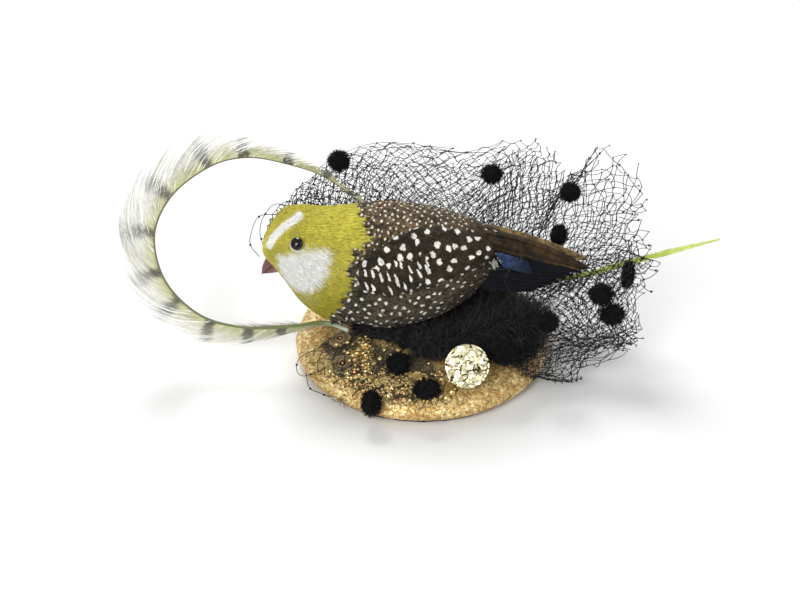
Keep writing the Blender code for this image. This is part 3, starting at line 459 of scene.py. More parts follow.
def feathered(name, ground, speckle, dot=None, lattices=(), mottling=900, rough=0.85, shaft_colour=None):
    """Plumage: a finely mottled ground, with pale dots in rows that run on over the whole body.

    Each lattice of dots is (pitch, longer, size, randomness, slant, shift)."""
    look = Look(name, rough=rough, Sheen_Weight=0.05, Sheen_Roughness=0.45, Specular_IOR_Level=0.2)
    lines, shaft, _ = barbs(look)
    where = look.place()
    mottle = look.grain(where, mottling, 4, 0.65, 0.5)
    base = look.steps(mottle, (0.38, ground), (0.60, speckle))
    base = look.mix(look.maths("MULTIPLY", lines, 0.35), base, tuple(c * 0.35 for c in ground))
    base = look.mix(1.0, base, look.steps(look.grain(where, 150, 3, 0.6), (0.38, (0.60, 0.62, 0.64)), (0.62, (1.22, 1.12, 0.96))), "MULTIPLY")
    if shaft_colour:
        base = look.mix(look.maths("MULTIPLY", shaft, 0.7), base, shaft_colour)
    if lattices:
        spread = body_place(look)
        bend = look.new("ShaderNodeVectorMath", {0: look.new("ShaderNodeTexNoise", {"Vector": where, "Scale": 220.0}).outputs["Color"],
                                                 "Scale": 2.4 * MM}, operation="SCALE").outputs["Vector"]
        spread = look.new("ShaderNodeVectorMath", {0: spread, 1: bend}, operation="ADD").outputs["Vector"]
        rough_edge = look.maths("MULTIPLY", look.maths("SUBTRACT", look.grain(where, 900, 3), 0.5), 0.34)
    for pitch, longer, size, randomness, slant, shift in lattices:
        turned = look.new("ShaderNodeMapping", {"Vector": spread, "Rotation": (0, 0, slant), "Location": (shift[0] * MM, shift[1] * MM, 0)})
        scaled = look.new("ShaderNodeMapping", {"Vector": turned.outputs["Vector"], "Scale": (1 / (pitch * MM), 1 / (pitch * longer * MM), 1)})
        spots = look.cells(scaled.outputs["Vector"], 1.0, "F1", randomness, "2D")
        edge = look.maths("ADD", spots, rough_edge)
        base = look.mix(look.steps(edge, (size * 0.85, 1.0), (size * 1.12, 0.0)), base, dot)
    look.colour(look.mix(1.0, base, look.tint(), "MULTIPLY"))
    return look.mat


def hammered_gold(name="hammered_gold", rough=0.14, colour=(1.0, 0.74, 0.33), painted_crease_shade=False):
    look = Look(name, rough=rough, metal=1.0)
    where = look.place()
    base = look.steps(look.grain(where, 420, 4), (0.3, tuple(c * 0.72 for c in colour)), (0.65, colour))
    look.roughness(look.steps(look.grain(where, 800, 3), (0.35, rough * 0.6), (0.7, rough * 2.0)))
    if painted_crease_shade:
        bent = look.new("ShaderNodeVectorMath", {0: where, 1: look.new("ShaderNodeVectorMath", {
            0: look.new("ShaderNodeTexNoise", {"Vector": where, "Scale": 500.0, "Detail": 3.0}).outputs["Color"],
            "Scale": 0.0016}, operation="SCALE").outputs["Vector"]}, operation="ADD").outputs["Vector"]
        shaded_creases = look.steps(look.cells(bent, 350, "DISTANCE_TO_EDGE"), (0.035, 1.0), (0.085, 0.0))
        gate = look.steps(look.grain(where, 300, 2), (0.46, 0.0), (0.54, 1.0))
        shaded_creases = look.maths("MULTIPLY", shaded_creases, gate)
        # painted shade: the creases of the crumpled foil are darkened to near black, and the same mask bumps them in
        base = look.mix(shaded_creases, base, (0.06, 0.03, 0.008))
        look.bump(look.maths("SUBTRACT", 1.0, shaded_creases), 0.8, 0.4)
    else:
        look.bump(look.cells(where, 700), 0.35, 0.3)
    look.bump(look.grain(where, 1500, 4, 0.6), 0.2, 0.10)
    look.colour(base)
    return look.mat


def beak_horn():
    look = Look("beak", rough=0.42, Coat_Weight=0.2, Coat_Roughness=0.3)
    where = look.place()
    grow = look.grain(look.new("ShaderNodeMapping", {"Vector": where, "Scale": (0.4, 1, 1)}).outputs["Vector"], 900, 5)
    look.colour(look.steps(grow, (0.3, (0.085, 0.034, 0.032)), (0.55, (0.16, 0.066, 0.060)), (0.8, (0.24, 0.12, 0.105))))
    look.bump(grow, 0.3, 0.12)
    return look.mat


def eye_glass():
    look = Look("eye", rough=0.08, Coat_Weight=0.1, Coat_Roughness=0.03, Specular_IOR_Level=0.25)
    look.colour(look.steps(look.grain(look.place(), 700, 2), (0.4, (0.003, 0.003, 0.003)), (0.8, (0.012, 0.009, 0.008))))
    return look.mat


FIBRE = fibres("fibre")
DOWN = fibres("down", rough=0.95, sheen=0.12, tint_spread=0.10)
BLACK_FIBRE = fibres("black_fibre", rough=0.85, sheen=0.06)
CHENILLE_FIBRE = fibres("chenille_fibre", rough=1.0, sheen=0.0)
THREAD = fibres("thread", rough=0.7, sheen=0.15)
LACE_THREAD = fibres("lace_thread", rough=0.65, sheen=0.3)
MANTLE = feathered("mantle", (0.028, 0.020, 0.012), (0.17, 0.125, 0.075), (0.62, 0.57, 0.47), ((2.1, 1.2, 0.19, 0.55, 0.45, (0, 0)),), 620)
FLANK = feathered("flank", (0.025, 0.021, 0.015), (0.115, 0.098, 0.068), (0.66, 0.64, 0.57), ((3.3, 1.15, 0.19, 0.5, 0.5, (0, 0)),), 700)
RUMP = feathered("rump", (0.026, 0.018, 0.011), (0.10, 0.070, 0.042), (0.60, 0.56, 0.46), ((4.6, 1.0, 0.11, 0.7, 0.3, (0, 0)),), 700)
WING_DOTS = feathered("wing_dots", (0.015, 0.011, 0.007), (0.046, 0.034, 0.022), (0.74, 0.72, 0.66),
                      ((4.5, 1.0, 0.24, 0.65, 0.65, (0, 0)),))
WING_BARS = feathered("wing_bars", (0.015, 0.011, 0.007), (0.048, 0.036, 0.024), (0.70, 0.68, 0.62),
                      ((3.0, 3.2, 0.165, 0.45, -0.42, (0, 0)), (3.0, 3.2, 0.165, 0.45, -0.42, (1.5, 4.8))))
RUSSET = feathered("tail_russet", (0.016, 0.0095, 0.005), (0.060, 0.036, 0.016), mottling=420, shaft_colour=(0.07, 0.045, 0.02))
OLIVE_GOLD = feathered("tail_olive", (0.11, 0.072, 0.026), (0.26, 0.185, 0.075), mottling=600)
TAN = feathered("tail_tan", (0.085, 0.052, 0.022), (0.19, 0.125, 0.058), mottling=500)
NAVY = feathered("tail_navy", (0.0014, 0.0017, 0.0035), (0.004, 0.006, 0.015), mottling=300, rough=0.8)
BLUE = feathered("tail_blue", (0.010, 0.020, 0.060), (0.040, 0.090, 0.27), mottling=700, rough=0.5)
GOLD_FOIL = hammered_gold("gold_foil", 0.27, (1.0, 0.92, 0.60), True)
BEAD_GOLD = hammered_gold("bead_gold", 0.35, (0.86, 0.66, 0.30))
COPPER = hammered_gold("copper", 0.25, (0.72, 0.33, 0.14))
CAD_LOOKS = {
    "buckram": buckram(), "felt": cloth("felt", (0.008, 0.008, 0.009), (0.05, 0.05, 0.052)), "steel": steel(), "foam": foam(),
    "binding": cloth("binding", (0.006, 0.006, 0.007), (0.035, 0.034, 0.036), 2200), "beak": beak_horn(), "eye": eye_glass(),
    "brass": BEAD_GOLD,
}


# ---------------------------------------------------------------- the bird's own shape
def to_row(local):
    """A point of the bird's own frame, in the row frame."""
    local = np.asarray(local, float)
    x, y, z = local[..., 0], local[..., 1], local[..., 2]
    c, s = math.cos(BIRD_LEAN), math.sin(BIRD_LEAN)
    return np.stack([x + BIRD_ORIGIN[0], BIRD_ORIGIN[1] + y * c + z * s, BIRD_ORIGIN[2] - y * s + z * c], axis=-1)


def turn_row(vector):
    return to_row(vector) - to_row(np.zeros(3))


FINE_STATIONS = spline(BIRD_STATIONS, 140)


def bird_skin(x, turn, lift=0.0):
    """A point on the plumage and its outward direction, in the bird's frame. turn is 0 on the near side and a quarter turn on top."""
    x, turn = np.broadcast_arrays(np.asarray(x, float), np.asarray(turn, float))
    middle, tall, wide = (np.interp(x, FINE_STATIONS[:, 0], FINE_STATIONS[:, k]) for k in (1, 2, 3))
    tall, wide = tall + lift, wide + lift
    point = np.stack([x, -wide * np.cos(turn), middle + tall * np.sin(turn)], axis=-1)
    out = unit(np.stack([np.zeros_like(x), -np.cos(turn) / wide, np.sin(turn) / tall], axis=-1))
    return point, out


def skin_flow(x, turn, way):
    """The direction on the skin for way = (forward along x, round the body)."""
    a, _ = bird_skin(x, turn)
    b, _ = bird_skin(np.asarray(x) + 0.5, turn)
    c, _ = bird_skin(x, np.asarray(turn) + 0.03)
    return unit(unit(b - a) * np.asarray(way)[..., :1] + unit(c - a) * np.asarray(way)[..., 1:])


def loft(pile, x0, x1, rows, sides, lift, tint, kind=0):
    """The closed skin between two places of the bird."""
    x = np.linspace(x0, x1, rows)
    turn = np.arange(sides) * TAU / sides
    point, _ = bird_skin(x[:, None], turn[None, :], lift)
    index = np.arange(rows * sides).reshape(rows, sides)
    after = np.roll(index, -1, axis=1)
    quads = np.stack([index[:-1], index[1:], after[1:], after[:-1]], axis=-1).reshape(-1, 4)
    tints = tint(point.reshape(-1, 3)) if callable(tint) else tint
    pile.add(to_row(point).reshape(-1, 3), [quads, [index[0]], [index[-1][::-1]]], tints, kind=kind)


def inside(polygon, x, z):
    """Whether each (x, z) is in the polygon."""
    hit = np.zeros(np.shape(x), bool)
    for (x0, z0), (x1, z1) in zip(polygon, polygon[1:] + polygon[:1]):
        cross = (z0 > z) != (z1 > z)
        with np.errstate(divide="ignore", invalid="ignore"):
            at = (x1 - x0) * (z - z0) / (z1 - z0) + x0 if z1 != z0 else np.zeros_like(x)
        hit ^= cross & (x < at)
    return hit


def line_distance(line, x, z):
    best = np.full(np.shape(x), 1e9)
    for (x0, z0), (x1, z1) in zip(line, line[1:]):
        t = np.clip(((x - x0) * (x1 - x0) + (z - z0) * (z1 - z0)) / ((x1 - x0) ** 2 + (z1 - z0) ** 2), 0, 1)
        best = np.minimum(best, np.hypot(x - x0 - t * (x1 - x0), z - z0 - t * (z1 - z0)))
    return best


EYE = (-46.9, 14.0, 11.5)
UPPER_BEAK = ((-54.6, 0, 4.4), (-57.6, 0, 2.2), (-60.2, 0, -0.8), (-61.8, 0, -3.7))
LOWER_BEAK = ((-53.0, 0, 1.0), (-56.0, 0, -0.9), (-58.8, 0, -2.2), (-61.0, 0, -3.3))
BROW = [(-58.3, 9.0), (-56.9, 12.0), (-53.4, 15.9), (-50.0, 18.5), (-46.6, 20.6)]
CHEEK = [(-55.4, 5.4), (-54.6, 0.0), (-52.4, -5.0), (-48.3, -7.4), (-43.2, -7.6), (-38.4, -5.2), (-35.6, 0.6), (-34.4, 6.0),
         (-35.6, 9.4), (-39.3, 9.8), (-44.2, 8.2), (-50.0, 7.2)]
YELLOW_EDGE = [(-22.3, 24.5), (-20.4, 21.2), (-18.8, 19.0), (-18.0, 16.2), (-16.8, 13.2), (-21.3, 9.7), (-24.3, 7.0), (-25.8, 3.3),
               (-25.4, -0.5), (-24.7, -4.1), (-25.9, -8.2), (-27.9, -11.0), (-30.2, -14.7), (-33.4, -19.1), (-35.4, -24.0)]


def head_tint(local):
    """Yellow-olive with a painted white brow and cheek."""
    x, z = local[:, 0], local[:, 2]
    patch = value_noise(local, 6.0, 3)[:, None]
    base = np.array(YELLOW) * (1 + 0.16 * patch)
    low = np.clip((2 - z) / 14, 0, 1)[:, None]
    crown = np.clip((z - 17) / 8, 0, 1)[:, None]
    base = base * (1 - 0.85 * low - 0.15 * crown) + np.array(YELLOW_SHADE) * (0.85 * low + 0.15 * crown)
    edge = value_noise(local, 1.6, 9) * 1.1
    brow = np.clip((1.50 - line_distance(BROW, x, z) + edge * 0.15) * 3.0, 0, 1)
    grow = line_distance(CHEEK + CHEEK[:1], x, z) * np.where(inside(CHEEK, x, z), 1, -1)
    cheek = np.clip((grow + edge * 1.6 + 1.2) / 2.4, 0, 1)
    throat = np.clip(1 - np.hypot((x + 44) / 7, (z + 10) / 5), 0, 1) * 0.12
    white = np.maximum(np.maximum(brow, cheek), throat)[:, None]
    return base * (1 - white) + np.array(DOWN_WHITE) * white


def yellow_limit(z):
    """x of the yellow's jagged edge at a height."""
    edge = np.array(YELLOW_EDGE)[::-1]
    return np.interp(z, edge[:, 1], edge[:, 0])


def bird_head():
    pile = Pile()
    loft(pile, -61.4, -22.5, 60, 72, -1.3, head_tint)
    draw = np.random.default_rng(21)
    number = 23500
    x = draw.uniform(-61.2, -17.0, number)
    turn = draw.uniform(0, TAU, number)
    point, out = bird_skin(x, turn, -1.05)
    jag = value_noise(point, 2.6, 4) * 1.3 + value_noise(point, 6.0, 14) * 1.2
    keep = (point[:, 0] < yellow_limit(point[:, 2]) - 2.4 + jag)
    girth = np.interp(x, FINE_STATIONS[:, 0], FINE_STATIONS[:, 2]) / 24
    keep &= draw.random(number) < girth
    near_beak = (point[:, 0] < -55.0) & (np.abs(point[:, 1]) < 3.4) & (np.abs(point[:, 2] - 1.4) < 3.4)
    keep &= ~near_beak
    keep &= np.hypot(point[:, 0] - EYE[0] - 0.3, point[:, 2] - EYE[2]) > 2.75
    x, turn, point, out = x[keep], turn[keep], point[keep], out[keep]
    number = len(x)
    way = np.stack([np.ones(number), np.where(np.cos(turn) > 0, -0.30, 0.30) + draw.normal(0, 0.14, number)], axis=-1)
    flow = skin_flow(x, turn, way)
    far = np.clip((x + 60) / 38, 0, 1)
    length = (1.3 + 2.7 * far) * draw.uniform(0.8, 1.25, number)
    raise_by = (0.36 - 0.24 * far) + draw.normal(0, 0.03, number)
    step = np.linspace(0, 1, 3)[None, :, None]
    path = point[:, None, :] + flow[:, None, :] * length[:, None, None] * step + \
        out[:, None, :] * length[:, None, None] * (raise_by[:, None, None] * step * (1.25 - step * 0.75)) + out[:, None, :] * 0.1
    painted = head_tint((point[:, None, :] + flow[:, None, :] * length[:, None, None] * step).reshape(-1, 3)).reshape(number, 3, 3)
    tint = painted * draw.uniform(0.955, 1.045, number)[:, None, None]
    shade = np.linspace(0.90, 1.04, 3)[None, :, None]
    radius = np.array([0.17, 0.19, 0.03])[None, :] * (0.85 + 0.3 * far[:, None])
    bundle(pile, to_row(path), radius, 3, tint * shade, turn_row(out), 0.4)
    for side in (-1, 1):
        arc = np.radians(np.linspace(-190, 10, 22))
        ring = np.stack([EYE[0] + 2.9 * np.cos(arc), np.full(22, side * (EYE[1] - 0.1)), EYE[2] - 0.1 + 2.9 * np.sin(arc)], axis=-1)
        bundle(pile, to_row(ring), 0.34 * np.sin(np.linspace(0.3, math.pi - 0.3, 22)), 6, np.array(DOWN_WHITE) * 0.7,
               turn_row(np.array([0.0, side, 0.0])))
    piece("bird_head_down", pile, DOWN, stands_for=["bird_head_plumage"])


ROUND_FEATHER = np.array([0.30, 0.62, 0.88, 1.0, 0.96, 0.74, 0.30])
LONG_FEATHER = np.array([0.35, 0.62, 0.82, 0.94, 1.0, 1.0, 0.97, 0.88, 0.70, 0.42, 0.10])


def beak():
    """Two mandibles of horn, the upper one hooked a little at its tip."""
    share = np.linspace(0, 1, 26)
    for name, node, line, girth in (("bird_beak_upper_horn", "bird_beak_upper", UPPER_BEAK, 3.1), ("bird_beak_lower_horn", "bird_beak_lower", LOWER_BEAK, 2.3)):
        pile = Pile()
        radius = girth * (1 - share ** 1.3) ** 0.9 + 0.10
        bundle(pile, to_row(spline(line, 26)), radius, 24, (1, 1, 1), turn_row(np.array([0.0, 1.0, 0.0])))
        piece(name, pile, CAD_LOOKS["beak"], stands_for=[node])


def lay_feathers(pile, x, turn, length, width, way, lift, rise, draw, kind=0, shape=ROUND_FEATHER, bright=0.15, bend=0.0):
    """Small curved feathers on the bird's skin, roots to the front, each with a paler margin at its tip and painted
    shade at its root, where the feathers ahead of it lie over it.
    """
    number = len(x)
    point, out = bird_skin(x, turn, lift)
    flow = skin_flow(x, turn, way)
    step = np.linspace(0, 1, len(shape))[None, :, None]
    length = np.broadcast_to(length, number)[:, None, None]
    end, _ = bird_skin(np.minimum(x + length[:, 0, 0] * flow[:, 0], 30), turn, lift)
    sink = np.sum((end - point) * out, axis=1)[:, None, None]
    path = point[:, None, :] + flow[:, None, :] * length * step + out[:, None, :] * (rise * step * (1.35 - 0.75 * step) + 0.35 * sink * step ** 2 + bend * step ** 2)
    # painted shade: each feather is darker at its root, where the feathers ahead of it lie over it; the paler tip is
    # its margin
    root_shade_and_margin = np.interp(step[0, :, 0], (0, 0.3, 0.8, 0.97, 1), (0.75, 0.95, 1.0, 1.55, 1.7))
    tint = draw.uniform(1 - bright, 1 + bright, number)[:, None, None] * root_shade_and_margin[None, :, None] * np.ones(3)
    radius = shape[None, :] * np.broadcast_to(width, number)[:, None] / 2
    bundle(pile, to_row(path), radius, 8, tint, turn_row(out), 0.035, 0.10, kind, shift=draw.uniform(0, 40, (number, 2)))


def bird_body():
    pile = Pile()
    loft(pile, -27.5, 25.0, 40, 60, -1.6, (0.8, 0.8, 0.8), 1)
    draw = np.random.default_rng(22)
    for x in np.arange(21.5, -39.0, -2.3):
        tall, wide = (float(np.interp(x, FINE_STATIONS[:, 0], FINE_STATIONS[:, k])) for k in (2, 3))
        count = int(TAU * math.sqrt((tall ** 2 + wide ** 2) / 2) / 3.1)
        turn = (np.arange(count) + draw.random()) * TAU / count + draw.normal(0, 0.02, count)
        place = x + draw.normal(0, 0.5, count)
        point, _ = bird_skin(place, turn)
        keep = point[:, 0] > yellow_limit(point[:, 2]) - 5.6
        low = point[:, 2] < 3
        rump = (point[:, 0] > 13.5) | ((point[:, 0] > 4) & (point[:, 2] < -8))
        for pick, kind, length, width in ((keep & ~low & ~rump, 0, 7.4, 4.6), (keep & low & ~rump, 1, 8.2, 5.2), (keep & rump, 2, 8.6, 4.8)):
            if pick.any():
                n = int(pick.sum())
                way = np.stack([np.ones(n), np.where(np.cos(turn[pick]) > 0, 0.10, -0.10) + draw.normal(0, 0.10, n)], axis=-1)
                lay_feathers(pile, place[pick], turn[pick], length * draw.uniform(0.85, 1.15, n), width, way, -1.0, 0.9, draw, kind)
    piece("bird_body_feathers", pile, [MANTLE, FLANK, RUMP], stands_for=["bird_body_plumage"])


WING_TOP = [(-25.0, 1.5), (-22.4, 5.0), (-19.1, 8.6), (-11.6, 13.4), (-7.1, 15.8), (-3.0, 17.2), (5.7, 17.4), (12.1, 15.4), (17.8, 12.3), (24.0, 9.0)]
WING_LOW = [(-25.0, -0.5), (-21.7, -2.5), (-16.1, -4.6), (-8.6, -4.0), (-1.1, -2.4), (6.4, 0.0), (14.0, 2.4), (19.3, 4.6), (24.0, 7.5)]


def bird_wing(side):
    """Rows of dotted coverts and a few long quills. side is -1 for the left wing, nearest the front of the piece."""
    pile = Pile()
    draw = np.random.default_rng(31)
    top, low = np.array(WING_TOP), np.array(WING_LOW)

    def turn_at(x, z, lift):
        middle, tall = (np.interp(x, FINE_STATIONS[:, 0], FINE_STATIONS[:, k]) for k in (1, 2))
        angle = np.arcsin(np.clip((z - middle) / (tall + lift), -0.98, 0.98))
        return angle if side < 0 else math.pi - angle

    rows = 7
    columns = 12
    for column in range(columns - 1, -1, -1):
        for row in range(rows):
            across = (row + 0.25 + 0.5 * (column % 2)) / rows
            x = -24.5 + 41.0 * (column / (columns - 1)) ** 1.05 + draw.normal(0, 0.4)
            high, base = np.interp(x, top[:, 0], top[:, 1]), np.interp(x, low[:, 0], low[:, 1])
            if high - base < 2.5 and row % 2:
                continue
            z = base + (high - base) * across
            layer = 1.6 + 0.9 * (columns - column) / columns
            turn = turn_at(x, z, layer)
            slope = float(np.interp(x, low[:, 0], np.gradient(low[:, 1], low[:, 0]))) * (1 - across) + \
                float(np.interp(x, top[:, 0], np.gradient(top[:, 1], top[:, 0]))) * across
            way = np.array([[1.0, (1 if side < 0 else -1) * (0.55 * slope + draw.normal(0, 0.05))]])
            front = x < -3 and across < 0.62
            length = 10.0 if not front else 8.0
            lay_feathers(pile, np.array([x]), np.array([turn]), length * draw.uniform(0.92, 1.1), 5.8 if not front else 5.0, way,
                         layer, 0.9, draw, 1 if front else 0, bright=0.1)
    for k in range(6):
        x0 = -2.0 + 2.2 * k
        z0 = float(np.interp(x0, low[:, 0], low[:, 1])) + 1.2 + 0.9 * k
        turn = turn_at(x0, z0, 1.2)
        way = np.array([[1.0, (1 if side < 0 else -1) * (0.30 - 0.03 * k)]])
        lay_feathers(pile, np.array([x0]), np.array([turn]), 24.0 - 1.6 * k, 5.0, way, 1.3 + 0.12 * k, 0.6, draw, 0, LONG_FEATHER, 0.1, -0.8)
    name = "left" if side < 0 else "right"
    piece(f"bird_wing_feathers_{name}", pile, [WING_DOTS, WING_BARS], stands_for=[f"bird_wing_{name}"])


def fan_feathers(pile, roots, tips, width, bow, draw, kind, face_up, flat=0.03, steps=14, tint=1.0):
    """Long feathers from roots to tips in the bird's frame, with a slight bow."""
    roots, tips = np.asarray(roots, float), np.asarray(tips, float)
    step = np.linspace(0, 1, steps)[None, :, None]
    path = roots[:, None, :] * (1 - step) + tips[:, None, :] * step
    path = path + np.asarray(bow) * (4 * step * (1 - step))
    shape = np.interp(np.linspace(0, 1, steps), np.linspace(0, 1, len(LONG_FEATHER)), LONG_FEATHER)
    number = len(roots)
    tints = draw.uniform(0.8, 1.2, number)[:, None] * np.ones(3) * tint
    radius = shape[None, :] * np.broadcast_to(width, number)[:, None] / 2
    bundle(pile, to_row(path), radius, 10, tints, turn_row(np.broadcast_to(face_up, (number, 3))), flat, 0.12, kind,
           shift=draw.uniform(0, 30, (number, 2)))


def bird_tail():
    draw = np.random.default_rng(41)
    upper = Pile()
    for k in range(6):
        for side in (1, -1):
            roots = [(15.5, side * (7.6 - 0.4 * k), 13.8 - 0.85 * k)]
            tips = [(64.3 - 1.0 * k - 2.0 * (side > 0), side * (1.2 + 0.25 * k) - 0.6, -1.0 - 0.22 * k)]
            kind = (0, 0, 0, 2, 0, 0)[k] if side < 0 else (1, 1, 0, 0, 0, 0)[k]
            fan_feathers(upper, roots, tips, (5.4, 5.0, 4.6, 3.4, 3.4, 3.4)[k], (0, side * 1.1, 2.6 - 0.2 * k), draw, kind, (0.1, side * 0.85, 0.55))
    for k in range(7):
        y = -5.4 + 2.0 * k
        kind = 1 if k > 3 else 0
        bow = 4.0 + 0.3 * max(k - 3, 0)
        fan_feathers(upper, [(13.5, y, 14.6)], [(63.0 - 1.2 * abs(k - 2), y * 0.35, -0.1)], 5.0, (0, 0, bow), draw, kind, (0.1, 0.0, 1.0))
    along = np.linspace(17, 55, 11)
    roots = np.stack([along, np.linspace(1.5, 1.2, 11), np.interp(along, (17, 26, 35, 43, 49, 55), (16.0, 14.7, 12.4, 9.7, 7.3, 4.6))], axis=-1)
    fan_feathers(upper, roots, roots + np.array([8.8, -0.5, -2.8]), 3.4, (0, -0.1, 0.3), draw, 1, (0, -0.55, 0.8))
    piece("bird_tail_upper_feathers", upper, [RUSSET, OLIVE_GOLD, TAN], stands_for=["bird_tail_upper"])
    lower = Pile()
    for side in (-1, 1):
        for k in range(7):
            roots = [(14.0, side * (7.7 - 0.5 * k), 8.6 - 2.0 * k)]
            tips = [(60.0 - 2.6 * k, side * (2.8 - 0.2 * k) - 0.6, -2.0 - 1.2 * k)]
            fan_feathers(lower, roots, tips, 6.2, (0, side * 0.8, 0.6), draw, 0, (0.05, side * 0.9, 0.4))
    piece("bird_tail_lower_feathers", lower, NAVY, stands_for=["bird_tail_lower"])
    blue = Pile()
    for row in range(3):
        for k in range(4):
            x = 28.0 + 2.7 * k + 0.8 * row
            roots = [(x, -9.3 - 0.1 * row + 0.16 * (x - 28), 6.6 - 1.5 * row - 0.34 * (x - 28))]
            # painted highlight: the blue feathers are brightest in the front column and darker in the columns behind
            # and in each lower row, as a sheen on the blue
            fan_feathers(blue, roots, np.array(roots) + np.array([5.0, 0.5, -1.8]), 2.2, (0, -0.4, 0), draw, 0, (0, -1, 0.25), steps=8,
                         tint=(1.1, 0.9, 0.55, 0.3)[k] * (1 - 0.2 * row))
    piece("bird_tail_blue_feathers", blue, BLUE, stands_for=["bird_tail_blue"])
    tuft = Pile()
    number = 70
    root = np.stack([draw.normal(27.0, 0.6, number), draw.normal(-9.8, 0.3, number), draw.normal(3.2, 0.8, number)], axis=-1)
    way = unit(np.stack([draw.uniform(0.1, 0.6, number), draw.uniform(-0.4, 0.0, number), draw.normal(-0.9, 0.2, number)], axis=-1))
    step = np.linspace(0, 1, 4)[None, :, None]
    path = root[:, None, :] + way[:, None, :] * draw.uniform(1.0, 2.4, number)[:, None, None] * step
    bundle(tuft, to_row(path), np.array([0.14, 0.16, 0.1, 0.03])[None, :], 3, np.array([0.42, 0.43, 0.36]) * draw.uniform(0.6, 1.3, (number, 1)))
    piece("bird_rump_down", tuft, DOWN)


# ---------------------------------------------------------------- the curled feather and the lime one
BAR_PLACES = (0.148, 0.21, 0.28, 0.352, 0.414, 0.487, 0.561, 0.651, 0.718, 0.799, 0.875, 0.94)
REACH_PLACES = (0, 0.08, 0.13, 0.20, 0.27, 0.34, 0.42, 0.50, 0.56, 0.62, 0.70, 0.80, 0.90, 1)
VANE_REACH = (0, 2.5, 4.5, 9, 13, 15.5, 16, 15.5, 13.5, 10.0, 6.5, 3.8, 2.2, 1)


